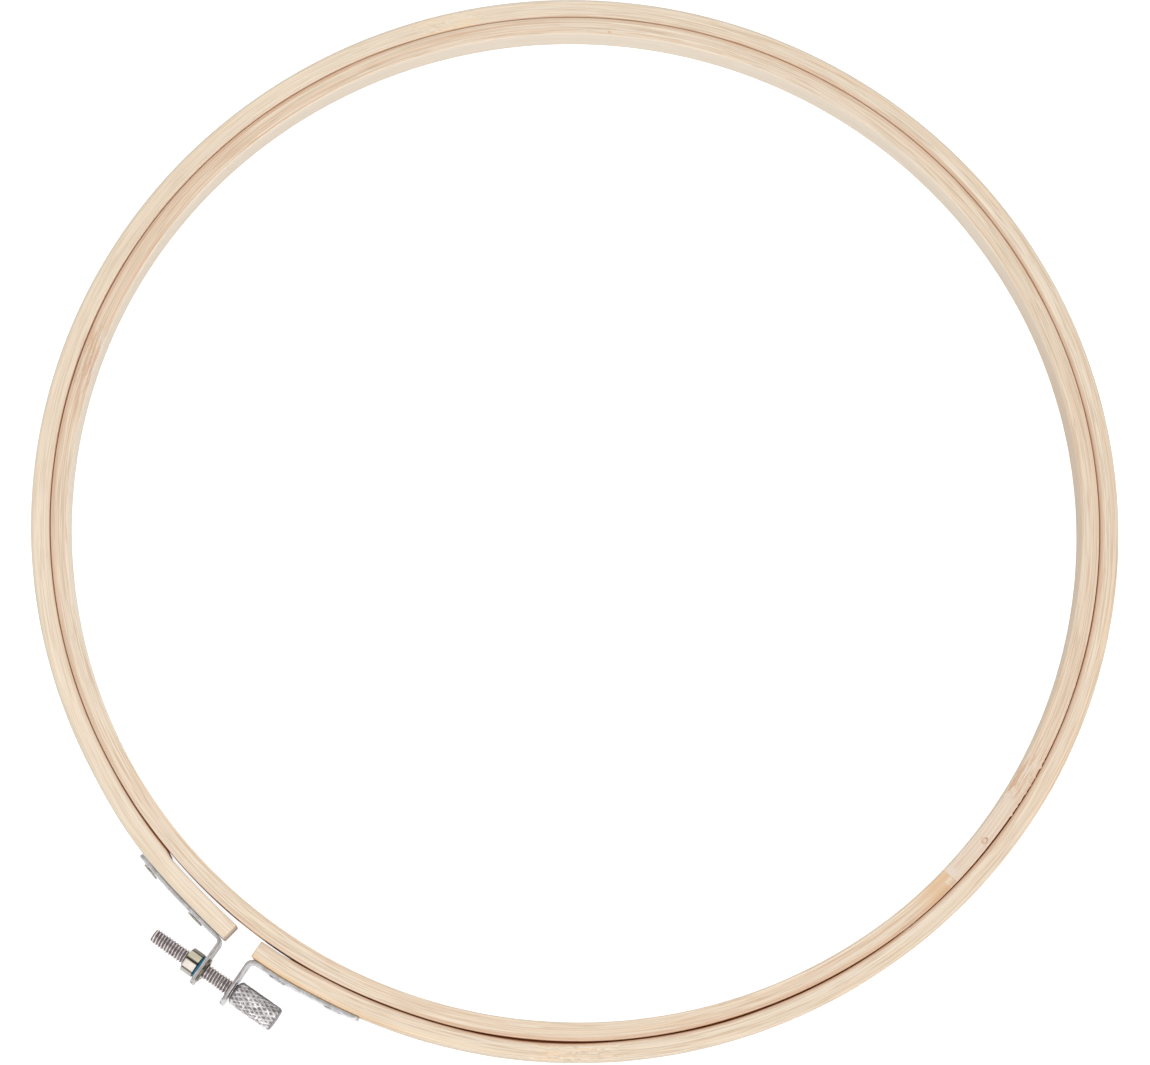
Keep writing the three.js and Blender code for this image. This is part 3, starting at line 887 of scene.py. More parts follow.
def remember_grooves(bm, outside, depth):
    """Stores how deep each point lies below the outside radius, as a share of the full depth."""
    layer = bm.verts.layers.float.new(GROOVE)
    for vert in bm.verts:
        vert[layer] = min(max((outside - math.hypot(vert.co.y, vert.co.z)) / depth, 0), 1)


# %% Wind the tooth
bm = bmesh.new()
verts = [bm.verts.new(((share - 2) * THREAD_PITCH, r, 0)) for share, r in tooth]
edges = [bm.edges.new(pair) for pair in zip(verts, verts[1:])]
bmesh.ops.spin(
    bm,
    geom=verts + edges,
    cent=(0, 0, 0),
    axis=(1, 0, 0),
    dvec=(THREAD_PITCH / TURN_STEPS, 0, 0),
    angle=2 * math.pi * turns,
    steps=TURN_STEPS * turns,
    use_merge=False,
    use_duplicate=False,
)
bmesh.ops.remove_doubles(bm, verts=bm.verts, dist=1e-3)
print("thread wound for", turns, "turns")

# %% Trim both ends and turn down the first turn
LEAD_IN = 0.5
BELOW_ROOT = 0.05
for at, outside in ((0, False), (SHANK_LENGTH, True)):
    bmesh.ops.bisect_plane(
        bm,
        geom=bm.verts[:] + bm.edges[:] + bm.faces[:],
        plane_co=(at, 0, 0),
        plane_no=(1, 0, 0),
        clear_inner=not outside,
        clear_outer=outside,
    )
    rim = [edge for edge in bm.edges if edge.is_boundary and abs(edge.verts[0].co.x - at) < 1e-4]
    bmesh.ops.holes_fill(bm, edges=rim, sides=0)
for vert in bm.verts:
    radius = math.hypot(vert.co.y, vert.co.z)
    most = root - BELOW_ROOT + vert.co.x
    if vert.co.x < LEAD_IN and radius > most:
        vert.co.y *= most / radius
        vert.co.z *= most / radius
remember_grooves(bm, THREAD_RADIUS, THREAD_DEPTH)
make_piece("screw_thread_steel", on_screw(bm), sharp=30)

# %% [markdown]
# The knurled head
#
# A knurling wheel presses rows of diamonds into the head, longer than they are wide, and leaves two
# crossing sets of fine ridges between them. Those ridges catch the light as a net of bright lines. A bump
# texture would show at once along the outline, so the diamonds are in the mesh. The head is turned as a
# plain cylinder with four steps to a diamond each way, and each point on its side then sinks by its
# distance from the ridges. connect_verts draws the edges along the ridges, which keeps them crisp.

# %% Turn the blank
HEAD_RADIUS = 3.16
HEAD_LENGTH = 11.3
HEAD_CHAMFER = 0.55
NECK_LENGTH = 0.8
NECK_RADIUS = THREAD_RADIUS + 0.465
DIAMONDS_ROUND = 16
DIAMOND_STEPS = 4
KNURL_ROWS = 22
SHOULDER_AT, FLAT_AT = 0.08, 0.6
PIT_RADIUS = 1.2
PIT_DEPTH = 0.05

shoulder = SHANK_LENGTH + SHOULDER_AT
flat_from = SHANK_LENGTH + FLAT_AT
head_from = SHANK_LENGTH + NECK_LENGTH
head_to = head_from + HEAD_LENGTH
flat_to = head_to - HEAD_CHAMFER
row_length = (flat_to - flat_from) / KNURL_ROWS
end_radius = HEAD_RADIUS - HEAD_CHAMFER
profile = [(shoulder, 0), (shoulder, NECK_RADIUS + 0.1), (flat_from - 0.05, HEAD_RADIUS - 0.06)]
profile += [(flat_from + row_length * i, HEAD_RADIUS) for i in range(KNURL_ROWS + 1)]
profile += [(head_to - 0.12, end_radius + 0.14), (head_to, end_radius - 0.02)]
pit_floor = head_to - PIT_DEPTH
profile += [(head_to, PIT_RADIUS), (pit_floor, PIT_RADIUS - 0.3), (pit_floor, 0)]
bm = turned(profile, DIAMONDS_ROUND * DIAMOND_STEPS)
print(f"diamonds {2 * math.pi * HEAD_RADIUS / DIAMONDS_ROUND:.2f} by {row_length * DIAMOND_STEPS:.2f} mm")

# %% Press the diamonds in
KNURL_DEPTH = 0.28
PRESSED_UNEVENLY = 0.35
LEAST_SUNK = 0.02
ROUGH = 0.03


def off_ridge(value):
    """0 on a ridge, 1 halfway between two ridges."""
    return 1 - 2 * abs(value % 1 - 0.5)


ridge_points = []
for vert in bm.verts:
    x, y, z = vert.co
    radius = math.hypot(y, z)
    if radius < HEAD_RADIUS - 0.01:
        continue
    around = DIAMONDS_ROUND * math.atan2(z, y) / (2 * math.pi)
    along = (x - flat_from) / (row_length * DIAMOND_STEPS)
    hollow = min(off_ridge(around + along), off_ridge(around - along))
    if hollow < 0.01:
        ridge_points.append(vert)
    pressed = 1 + PRESSED_UNEVENLY * noise.noise(Vector((x * 1.3, y * 1.3, z * 1.3)))
    sunk = KNURL_DEPTH * hollow * pressed + LEAST_SUNK + ROUGH * (1 + noise.noise(Vector((x, y, z))))
    vert.co.y *= (radius - sunk) / radius
    vert.co.z *= (radius - sunk) / radius
bmesh.ops.connect_verts(bm, verts=ridge_points)
# The depth darkens the grooves between the diamonds: painted shade, with grease.
remember_grooves(bm, HEAD_RADIUS, 1.1 * KNURL_DEPTH)
print(len(ridge_points), "points lie on ridges")
make_piece("screw_head_steel", on_screw(bm), sharp=7)

# %% [markdown]
# The neck under the head
#
# Between the thread and the head the screw has a short plain neck. It is wider than the hole in the lug, so
# the lug can't be drawn up under the head. It is spun like the other turned parts and overlaps the thread
# and the head a little, as if all three were one bar.

# %% Neck under the head
NECK_SIDES = 48
NECK_OVERLAP = 0.3
NECK_CHAMFER = 0.1
# Painted shade on the neck under the head.
NECK_SHADE = 0.8
neck_start = SHANK_LENGTH - NECK_OVERLAP
neck_end = head_from + 0.05
profile = [(neck_start, 0), (neck_start, THREAD_RADIUS - NECK_OVERLAP)]
profile += [(SHANK_LENGTH, NECK_RADIUS - NECK_CHAMFER), (SHANK_LENGTH + NECK_CHAMFER, NECK_RADIUS)]
profile += [(neck_end, NECK_RADIUS), (neck_end, 0)]
bm = turned(profile, NECK_SIDES)
# The neck gets a deep groove value, so it is painted dark: painted shade under the head.
remember_grooves(bm, HEAD_RADIUS, NECK_SHADE)
make_piece("screw_neck_steel", on_screw(bm))

# %% [markdown]
# Building materials
#
# Every finish is made of nodes. Writing each node in full would bury the idea of a material, so a few short
# helpers add one node each and hand back its output. Colours are written as the eye would name them, in 0
# to 255, and turned into the linear values that the renderer works with.


# %% Helpers for colours and single nodes
def paint(red, green, blue):
    """A screen colour as linear light, with full opacity."""
    linear = []
    for level in (red, green, blue):
        c = level / 255
        linear.append(c / 12.92 if c <= 0.04045 else ((c + 0.055) / 1.055) ** 2.4)
    return (*linear, 1)


def add_node(tree, kind, inputs=None, **settings):
    """Adds a node, sets its options, and fills or links its inputs."""
    node = tree.nodes.new(kind)
    for key, value in settings.items():
        setattr(node, key, value)
    for key, value in (inputs or {}).items():
        if isinstance(value, bpy.types.NodeSocket):
            tree.links.new(value, node.inputs[key])
        else:
            node.inputs[key].default_value = value
    return node


def calculate(tree, operation, first, second=0.0, third=0.0, clamp=False):
    """The result of one sum on numbers or on other nodes' outputs."""
    inputs = {0: first, 1: second, 2: third}
    return add_node(tree, "ShaderNodeMath", inputs, operation=operation, use_clamp=clamp).outputs[0]


def between(tree, value, low, high, to_low=0.0, to_high=1.0):
    """Carries a value from one range to another, smoothly, and stops at both ends."""
    inputs = {"Value": value, "From Min": low, "From Max": high, "To Min": to_low, "To Max": to_high}
    return add_node(tree, "ShaderNodeMapRange", inputs, interpolation_type="SMOOTHSTEP").outputs["Result"]


def blend_colour(tree, share, first, second):
    """The first colour where the share is 0, and the second where it is 1."""
    node = add_node(tree, "ShaderNodeMix", data_type="RGBA", clamp_factor=True)
    for socket, value in ((node.inputs[0], share), (node.inputs[6], first), (node.inputs[7], second)):
        if isinstance(value, bpy.types.NodeSocket):
            tree.links.new(value, socket)
        else:
            socket.default_value = value
    return node.outputs[2]


def combine(tree, operation, first, second, output="Vector"):
    """The result of one sum on two places or directions."""
    return add_node(tree, "ShaderNodeVectorMath", {0: first, 1: second}, operation=operation).outputs[output]


def parts_of(tree, place):
    """The X, Y and Z of a place, as three outputs."""
    return add_node(tree, "ShaderNodeSeparateXYZ", {0: place}).outputs


def remembered_place(tree):
    """Where a point lies on its straight strip, as the mesh remembers it."""
    return add_node(tree, "ShaderNodeAttribute", attribute_name=PLACE).outputs["Vector"]


def stretched(tree, place, scale, shift=(0, 0, 0)):
    """A coordinate, stretched differently along each axis."""
    inputs = {"Vector": place, "Scale": scale, "Location": shift}
    return add_node(tree, "ShaderNodeMapping", inputs).outputs["Vector"]


def cloudy(tree, place, detail=2.0, roughness=0.5):
    """Noise between 0 and 1 on a coordinate that is already at the right scale."""
    inputs = {"Vector": place, "Scale": 1.0, "Detail": detail, "Roughness": roughness}
    return add_node(tree, "ShaderNodeTexNoise", inputs, normalize=True).outputs["Fac"]


# %% Helpers for node groups and materials
def new_group(name, inputs, outputs):
    """An empty node group with named sockets."""
    tree = bpy.data.node_groups.new(name, "ShaderNodeTree")
    for way, sockets in (("INPUT", inputs), ("OUTPUT", outputs)):
        for socket_name, kind in sockets.items():
            tree.interface.new_socket(socket_name, in_out=way, socket_type=f"NodeSocket{kind}")
    return tree, tree.nodes.new("NodeGroupInput").outputs, tree.nodes.new("NodeGroupOutput").inputs


def use_group(tree, group, **inputs):
    """Places a group in a material and hands back its outputs. Underscores stand for spaces."""
    node = tree.nodes.new("ShaderNodeGroup")
    node.node_tree = group
    for key, value in inputs.items():
        socket = node.inputs[key.replace("_", " ")]
        if isinstance(value, bpy.types.NodeSocket):
            tree.links.new(value, socket)
        else:
            socket.default_value = value
    return node.outputs


def new_material(name):
    """A material with one Principled shader, and its tree."""
    material = bpy.data.materials.new(name)
    material.use_nodes = True
    return material, material.node_tree, material.node_tree.nodes["Principled BSDF"]


def add_bump(tree, shader, height, strength, distance):
    """Fine relief that only the light sees. The distance is in metres."""
    inputs = {"Height": height, "Strength": strength, "Distance": distance}
    tree.links.new(add_node(tree, "ShaderNodeBump", inputs).outputs["Normal"], shader.inputs["Normal"])


# %% [markdown]
# Bamboo
#
# Bamboo is bundles of straight fibre in a paler ground. On the strip they show as lines along it: broad
# bands of cream, pink and grey-beige a millimetre wide, finer threads between them, a few thin darker
# lines, and short dashes where a bundle is cut open. All are the same noise, stretched along the strip by
# different amounts. Both rings use it, each with its own shift, so it is a node group. Where the cane had a
# knuckle, the fibres waver, and the Waver input bends them there.

# %% A group for the fibres, and how they wander
fibres, given, result = new_group(
    "bamboo_fibres",
    {"Place": "Vector", "Shift": "Vector", "Waver": "Float"},
    {
        "Bands": "Float",
        "Pink": "Float",
        "Threads": "Float",
        "Lines": "Float",
        "Dashes": "Float",
        "Height": "Float",
    },
)
moved = combine(fibres, "ADD", given["Place"], given["Shift"])
wander = cloudy(fibres, stretched(fibres, moved, (0.25, 0.5, 0.5)), detail=2)
wander = calculate(fibres, "SUBTRACT", wander, 0.5)
wander = calculate(fibres, "MULTIPLY", wander, given["Waver"])
sideways = add_node(fibres, "ShaderNodeCombineXYZ", {"Y": wander, "Z": wander}).outputs[0]
moved = combine(fibres, "ADD", moved, sideways)

# %% Bands, threads, thin lines and cut bundles
bands = cloudy(fibres, stretched(fibres, moved, (0.006, 0.85, 0.6)), detail=3, roughness=0.6)
pink = cloudy(fibres, stretched(fibres, moved, (0.008, 0.6, 0.5), (40, 9, 3)), detail=3, roughness=0.6)
threads = cloudy(fibres, stretched(fibres, moved, (0.045, 2.7, 2.3), (7, 0, 5)), detail=2, roughness=0.6)
lines = cloudy(fibres, stretched(fibres, moved, (0.03, 2.4, 2.2), (3, 31, 8)), detail=1, roughness=0.5)
dashes = cloudy(fibres, stretched(fibres, moved, (0.14, 3.3, 3.0), (0, 21, 0)), detail=2, roughness=0.5)
fibres.links.new(between(fibres, bands, 0.36, 0.64), result["Bands"])
fibres.links.new(between(fibres, pink, 0.4, 0.64), result["Pink"])
fibres.links.new(between(fibres, threads, 0.41, 0.6), result["Threads"])
thin = calculate(fibres, "ABSOLUTE", calculate(fibres, "SUBTRACT", lines, 0.5))
fibres.links.new(between(fibres, thin, 0.075, 0.02), result["Lines"])
fibres.links.new(between(fibres, dashes, 0.57, 0.69), result["Dashes"])
height = calculate(fibres, "MULTIPLY_ADD", dashes, -0.5, threads)
fibres.links.new(height, result["Height"])
print("bamboo_fibres:", len(fibres.nodes), "nodes")

# %% [markdown]
# One stretch of the strip
#
# Knuckles, the two sides of the glued joint and the ragged change of tone all sit at known places along a
# strip. A second group gives a mask that is 1 inside such a stretch and fades at both of its ends, with a
# ragged edge, because the fibres carry a stain further in some lines than in others.

# %% A group for a stretch of the strip
stretch, given, result = new_group(
    "strip_stretch",
    {"Place": "Vector", "From": "Float", "To": "Float", "Fade": "Float", "Ragged": "Float"},
    {"Mask": "Float"},
)
lines = cloudy(stretch, stretched(stretch, given["Place"], (0.05, 2.4, 2.4)), detail=3, roughness=0.7)
pushed = calculate(stretch, "MULTIPLY", calculate(stretch, "SUBTRACT", lines, 0.5), given["Ragged"])
along = calculate(stretch, "ADD", parts_of(stretch, given["Place"])["X"], pushed)
since_from = calculate(stretch, "SUBTRACT", along, given["From"])
until_to = calculate(stretch, "SUBTRACT", given["To"], along)
rising = calculate(stretch, "DIVIDE", since_from, given["Fade"], clamp=True)
falling = calculate(stretch, "DIVIDE", until_to, given["Fade"], clamp=True)
stretch.links.new(calculate(stretch, "MULTIPLY", rising, falling), result["Mask"])
print("strip_stretch:", len(stretch.nodes), "nodes")

# %% [markdown]
# The tones of bamboo
#
# The strip is cream and beige, with pink and grey bands in it. Its marks are browner or paler than that.
# Each tone is named once here, and the two rings' finishes lay them over each other by shares.

# %% The colours of the wood
CREAM = paint(243, 228, 207)
BEIGE = paint(234, 214, 188)
PINK_TAN = paint(235, 205, 180)
GREY_BEIGE = paint(223, 212, 196)
LINE_TAN = paint(200, 172, 141)
HONEY = paint(223, 187, 146)
FIBRE_BROWN = paint(188, 148, 112)
# Painted shade on the edge at the cloth gap.
EDGE_SHADE_BROWN = paint(206, 164, 130)
# Painted shade on the inner ring's inside wall near the joint.
WALL_PAINTED_SHADE = paint(216, 190, 163)
# Painted shade deep in the cloth gap.
GAP_SHADE_BROWN = paint(205, 146, 101)
PALE_WOOD = paint(230, 217, 202)
# Painted light on the inner ring's inside wall.
WALL_PAINTED_LIGHT = paint(246, 233, 215)
PEACH = paint(243, 213, 172)
SKIN_GREY = paint(214, 205, 188)
RAGGED_BROWN = paint(204, 158, 124)
STREAK_PINK = paint(219, 177, 145)

# %% [markdown]
# What both rings share
#
# Both strips are cut from the same kind of cane, so they begin with the same base of fibres, and each adds
# its own marks later. They also share a way to lay a tone over another, a mask for a cane's knuckle, the
# painted shade at the cloth gap, and the dull sheen of the finished wood.


# %% Base colour and tints
def tint(tree, colour, share, paint_colour, strength=1.0):
    """Lays a colour over another where the share is high."""
    return blend_colour(tree, calculate(tree, "MULTIPLY", share, strength), colour, paint_colour)


def bamboo_base(tree, place, shift, waver):
    """The base colour of a strip, and its fibres."""
    grain = use_group(tree, fibres, Place=place, Shift=shift, Waver=waver)
    colour = blend_colour(tree, grain["Bands"], BEIGE, CREAM)
    colour = tint(tree, colour, grain["Pink"], PINK_TAN, 0.35)
    colour = tint(tree, colour, calculate(tree, "SUBTRACT", 1.0, grain["Threads"]), GREY_BEIGE, 0.45)
    colour = tint(tree, colour, grain["Lines"], LINE_TAN, 0.55)
    colour = tint(tree, colour, grain["Dashes"], FIBRE_BROWN, 0.28)
    return colour, grain


def knuckle(tree, place, low, high):
    """A mask over a cane's knuckle, between two distances along the strip."""
    return use_group(tree, stretch, Place=place, From=low, To=high, Fade=4.0, Ragged=12.0)["Mask"]


# %% Painted shade at the cloth gap, and the sheen
def shade_cloth_gap(tree, colour, away, height, reach, strength):
    """Paints shade on the edge at the cloth gap, and deeper shade on the wall below it, most of all near its
    top.
    """
    # Painted shade on the rounded edge at the cloth gap.
    colour = tint(tree, colour, between(tree, away, reach, reach * 0.4), EDGE_SHADE_BROWN, strength)
    # Painted shade in deep brown on the wall inside the gap, low down.
    low_down = between(tree, height, RING_HEIGHT - 0.12, RING_HEIGHT - 0.8)
    wall = calculate(tree, "MULTIPLY", between(tree, away, 0.5, 0.15), low_down)
    near_top = between(tree, height, RING_HEIGHT - 4.2, RING_HEIGHT - 1.8, 0.2, 1.0)
    painted_gap_shade = calculate(tree, "MULTIPLY", wall, near_top)
    return tint(tree, colour, painted_gap_shade, GAP_SHADE_BROWN, 0.85), wall


def finish_bamboo(tree, shader, colour, grain, wall):
    """Links the colour and the sheen. The wall in the cloth gap is dull."""
    tree.links.new(colour, shader.inputs["Base Color"])
    tree.links.new(between(tree, grain["Threads"], 0.0, 1.0, 0.62, 0.5), shader.inputs["Roughness"])
    tree.links.new(between(tree, wall, 0.0, 1.0, 0.3, 0.0), shader.inputs["Specular IOR Level"])
    add_bump(tree, shader, grain["Height"], 0.35, 0.00008)


# %% [markdown]
# The inner ring's wood
#
# Its own marks, in order from the glued joint: a pale stretch, the round scar, a ragged change of tone, a
# small fleck far round, and on the other side of the joint a stretch that glue or water stained the colour
# of honey. A streaky knuckle lies almost opposite. A mark's place is written as its polar angle where that
# can be read off the ring, and turned into millimetres along the strip.

# %% Places along the inner strip
inner_bamboo, tree, shader = new_material("inner_bamboo")
inner_length = 2 * math.pi * INNER_MIDDLE
per_degree = inner_length / 360


def from_joint(degrees):
    """Millimetres along the inner strip, from its joint to a polar angle."""
    return (degrees - math.degrees(JOINT_ANGLE)) % 360 * per_degree


KNUCKLE_FROM, KNUCKLE_TO = from_joint(194.8), from_joint(203.4)
TONE_FROM, TONE_TO = from_joint(2.2), from_joint(9.5)
PALE_TO = from_joint(3.5)
STAIN_FROM, STAIN_TO = inner_length - 12.5, inner_length + 9
print(f"inner strip {inner_length:.1f} mm, knuckle at {KNUCKLE_FROM:.1f} to {KNUCKLE_TO:.1f} mm")

# %% Base, knuckle and the ragged change of tone
place = remembered_place(tree)
inner_knuckle = knuckle(tree, place, KNUCKLE_FROM, KNUCKLE_TO)
tone_change = use_group(tree, stretch, Place=place, From=TONE_FROM, To=TONE_TO, Fade=3.0, Ragged=14.0)["Mask"]
waver = calculate(tree, "MULTIPLY_ADD", tone_change, 2.2, calculate(tree, "MULTIPLY", inner_knuckle, 2.0))
colour, grain = bamboo_base(tree, place, (0, 0, 0), waver)
parts = parts_of(tree, place)

# %% [markdown]
# Both sides of the glued joint
#
# The two ends of the strip were planed to long slants and glued. The end that starts at the joint is paler,
# as if it had been scraped clean. The other end is stained by the glue, less so in its pale bands, and the
# stain stops at a small step, where the slanted end runs out on the outer half of the strip.

# %% Pale start and stained end
JOINT_STEP = inner_length - 2
pale = use_group(tree, stretch, Place=place, From=0.0, To=PALE_TO, Fade=0.6, Ragged=9.0)["Mask"]
starts = between(tree, parts["X"], 0.0, 0.25)
colour = tint(tree, colour, calculate(tree, "MULTIPLY", pale, starts), PALE_WOOD, 0.5)
stain = use_group(tree, stretch, Place=place, From=STAIN_FROM, To=STAIN_TO, Fade=7.0, Ragged=6.0)["Mask"]
honey = calculate(tree, "MULTIPLY_ADD", grain["Bands"], -0.3, 0.85)
step = between(tree, parts["X"], JOINT_STEP - 0.1, JOINT_STEP + 0.1)
outer_half = between(tree, parts["Y"], INNER_MIDDLE - 0.1, INNER_MIDDLE + 0.1)
unstained = calculate(tree, "MULTIPLY", step, outer_half)
honey = calculate(tree, "MULTIPLY", honey, calculate(tree, "SUBTRACT", 1.0, unstained))
colour = tint(tree, colour, calculate(tree, "MULTIPLY", stain, honey), HONEY)

# %% [markdown]
# Streaks
#
# A few pink threads run all the way round and are denser at the upper left of the picture. The knuckle and
# the change of tone have short, strong streaks, pale ones next to dark ones, since the fibres part and join
# again there. The dark ones of the change of tone fade towards the cloth gap.

# %% Pink threads, and streaks in two stretches
streaky = cloudy(tree, stretched(tree, place, (0.15, 1.9, 1.7), (5, 2, 9)), detail=3, roughness=0.65)
pale_streaks = between(tree, streaky, 0.5, 0.56)
dark_streaks = between(tree, streaky, 0.51, 0.45)
fine_pink = cloudy(tree, stretched(tree, place, (0.02, 2.7, 2.0), (8, 4, 1)), detail=2, roughness=0.6)
off_left = calculate(tree, "ABSOLUTE", calculate(tree, "SUBTRACT", parts["X"], from_joint(178)))
on_left = between(tree, off_left, 120.0, 50.0)
pink_share = calculate(tree, "MULTIPLY_ADD", on_left, 0.35, 0.3)
pink_share = calculate(tree, "MULTIPLY", between(tree, fine_pink, 0.5, 0.6), pink_share)
colour = tint(tree, colour, pink_share, STREAK_PINK)
colour = tint(tree, colour, calculate(tree, "MULTIPLY", pale_streaks, inner_knuckle), GREY_BEIGE, 0.7)
colour = tint(tree, colour, calculate(tree, "MULTIPLY", dark_streaks, inner_knuckle), RAGGED_BROWN, 0.5)
near_inside = between(tree, parts["Y"], INNER_RADIUS - 1.2, INNER_RADIUS - 2.8, 0.3, 1.0)
torn_tone = calculate(tree, "MULTIPLY", tone_change, calculate(tree, "MULTIPLY", dark_streaks, near_inside))
colour = tint(tree, colour, torn_tone, RAGGED_BROWN, 0.6)
colour = tint(tree, colour, calculate(tree, "MULTIPLY", tone_change, pale_streaks), PALE_WOOD, 0.6)

# %% [markdown]
# The two walls of the inner ring
#
# The inside wall is painted paler all round, as painted light, and near the joint it is painted tan, as
# painted shade on the walls that face away from the lamps. The edge at the cloth gap gets more painted shade
# in some stretches, which are told by their distance along the strip and by how near they lie to the outer
# ring's split.

# %% Inside wall and cloth side
INSIDE = INNER_RADIUS - INNER_WALL
inside_wall = between(tree, parts["Y"], INSIDE + 0.3, INSIDE + 0.05)
# The whole inside wall is painted paler: painted light.
colour = tint(tree, colour, inside_wall, WALL_PAINTED_LIGHT, 0.75)
# Near the joint the inside wall is painted tan: painted shade.
before_joint = between(tree, parts["X"], 600.0, 690.0)
after_joint = between(tree, parts["X"], 190.0, 120.0)
by_joint = calculate(tree, "MAXIMUM", before_joint, after_joint)
colour = tint(tree, colour, calculate(tree, "MULTIPLY", inside_wall, by_joint), WALL_PAINTED_SHADE, 0.6)
away = calculate(tree, "SUBTRACT", INNER_RADIUS, parts["Y"])
from_split = calculate(tree, "ABSOLUTE", calculate(tree, "SUBTRACT", parts["X"], from_joint(270)))
# How much painted shade the edge at the cloth gap gets, stretch by stretch.
inner_edge_shade = between(tree, parts["X"], 340.0, 420.0, 0.25, 0.5)
inner_edge_shade = calculate(tree, "MULTIPLY", inner_edge_shade, between(tree, from_split, 28.0, 60.0, 0.15, 1.0))
colour, wall = shade_cloth_gap(tree, colour, away, parts["Z"], 1.3, inner_edge_shade)

# %% [markdown]
# The scar, the fleck and the joint line
#
# These are small marks at single places. Each is a share that depends on the distance from its spot, with a
# noise that makes the edge ragged. The scar is a brown, broken ring round a paler middle. The fleck is a
# warm dash. The glue left a pale patch beside the joint, and the joint is a thin brown line that crosses
# the strip slightly slanted.

# %% A spot, and where the marks are
scar_along = (SCAR_ANGLE - JOINT_ANGLE) * INNER_MIDDLE
FLECK_ALONG, FLECK_RADIUS = from_joint(123.2), 126.2
GLUE_ALONG, GLUE_RADIUS = 0.9, 127.2
JOINT_SLANT = 0.06
SCAR_FLESH = paint(228, 196, 174)
SCAR_RIM = paint(164, 112, 90)
FLECK_TAN = paint(216, 164, 112)
GLUE_GREY = paint(229, 218, 207)


def spot(tree, place, along, radius, squash=1.0):
    """The distance from a spot on the top face, in millimetres, with a ragged edge."""
    away = combine(tree, "SUBTRACT", place, (along, radius, RING_HEIGHT))
    away = combine(tree, "MULTIPLY", away, (squash, 1, 1))
    length = combine(tree, "LENGTH", away, (0, 0, 0), output="Value")
    ragged = calculate(tree, "SUBTRACT", cloudy(tree, stretched(tree, place, (1.9, 1.9, 1.9))), 0.5)
    return calculate(tree, "MULTIPLY_ADD", ragged, 0.7, length)


# %% Lay the marks
scar_away = spot(tree, place, scar_along, SCAR_RADIUS)
rim_out = between(tree, scar_away, 1.05, 0.8)
rim_in = between(tree, scar_away, 0.32, 0.6)
broken = cloudy(tree, stretched(tree, place, (0.8, 0.8, 0.8), (3, 1, 4)))
broken = between(tree, broken, 0.4, 0.56, 0.25, 1.0)
rim = calculate(tree, "MULTIPLY", calculate(tree, "MULTIPLY", rim_out, rim_in), broken)
colour = tint(tree, colour, rim_out, SCAR_FLESH, 0.6)
colour = tint(tree, colour, rim, SCAR_RIM, 0.75)
fleck_away = spot(tree, place, FLECK_ALONG, FLECK_RADIUS, squash=0.3)
colour = tint(tree, colour, between(tree, fleck_away, 0.36, 0.08), FLECK_TAN, 0.7)
glue_away = spot(tree, place, GLUE_ALONG, GLUE_RADIUS, squash=0.8)
colour = tint(tree, colour, between(tree, glue_away, 1.6, 0.6), GLUE_GREY, 0.55)
slant = calculate(tree, "MULTIPLY_ADD", parts["Y"], -JOINT_SLANT, INNER_MIDDLE * JOINT_SLANT)
joint_away = calculate(tree, "ABSOLUTE", calculate(tree, "ADD", parts["X"], slant))
colour = tint(tree, colour, between(tree, joint_away, 0.2, 0.02), FIBRE_BROWN, 0.45)
finish_bamboo(tree, shader, colour, grain, wall)

# %% [markdown]
# The outer ring's wood
#
# The outside of this strip is the skin side of the cane, which is denser and more orange, so a peach band
# runs along its top near the outer edge, and the corner beyond it is greyer on one half of the ring. Two
# knuckles show as short stretches of wavy, streaky grain, and the wood on the nut's side is a little paler.

# %% Base and knuckles of the outer strip
outer_bamboo, tree, shader = new_material("outer_bamboo")
HEAD_KNUCKLE = (74.0, 96.0)
NUT_KNUCKLE = (525.5, 544.5)
place = remembered_place(tree)
on_head_side = knuckle(tree, place, *HEAD_KNUCKLE)
on_nut_side = knuckle(tree, place, *NUT_KNUCKLE)
knuckles = calculate(tree, "MAXIMUM", on_head_side, on_nut_side)
waver = calculate(tree, "MULTIPLY", knuckles, 2.6)
colour, grain = bamboo_base(tree, place, (230, 11, 17), waver)
parts = parts_of(tree, place)
wavy = cloudy(tree, stretched(tree, place, (0.12, 2.2, 2.0), (15, 7, 3)), detail=2, roughness=0.6)
pale_side = between(tree, parts["X"], 430.0, 530.0)
colour = tint(tree, colour, pale_side, CREAM, 0.3)
knuckle_light = calculate(tree, "MULTIPLY", knuckles, between(tree, wavy, 0.52, 0.62))
knuckle_dark = calculate(tree, "MULTIPLY", knuckles, between(tree, wavy, 0.47, 0.38))
colour = tint(tree, colour, knuckle_light, CREAM, 0.6)
colour = tint(tree, colour, knuckle_dark, PEACH, 0.7)

# %% [markdown]
# The skin side, the cloth side and the sawn ends
#
# The peach band fades in and out slowly along the strip, as the plane left more or less of the skin. The
# corner beyond it is grey on one half of the ring only, and next to the head's strap the rounded edge is
# painted a strong orange, as painted shade. The edge at the cloth gap gets painted shade, more towards the
# head's end. The last tenths of a millimetre at the sawn ends are darker, where the saw cut across the fibres.

# %% The skin side, and painted shade by the head's strap
# Painted shade on the rounded edge by the head's strap.
STRAP_EDGE_SHADE_ORANGE = paint(232, 188, 136)
across = calculate(tree, "SUBTRACT", parts["Y"], OUTER_INSIDE)
slow = cloudy(tree, stretched(tree, place, (0.012, 0.1, 0.1), (2, 5, 8)), detail=2)
slow = between(tree, slow, 0.35, 0.65, 0.25, 0.95)
band = calculate(tree, "MULTIPLY", between(tree, across, 2.7, 3.3), between(tree, across, 4.1, 3.6))
colour = tint(tree, colour, calculate(tree, "MULTIPLY", band, slow), PEACH, 0.3)
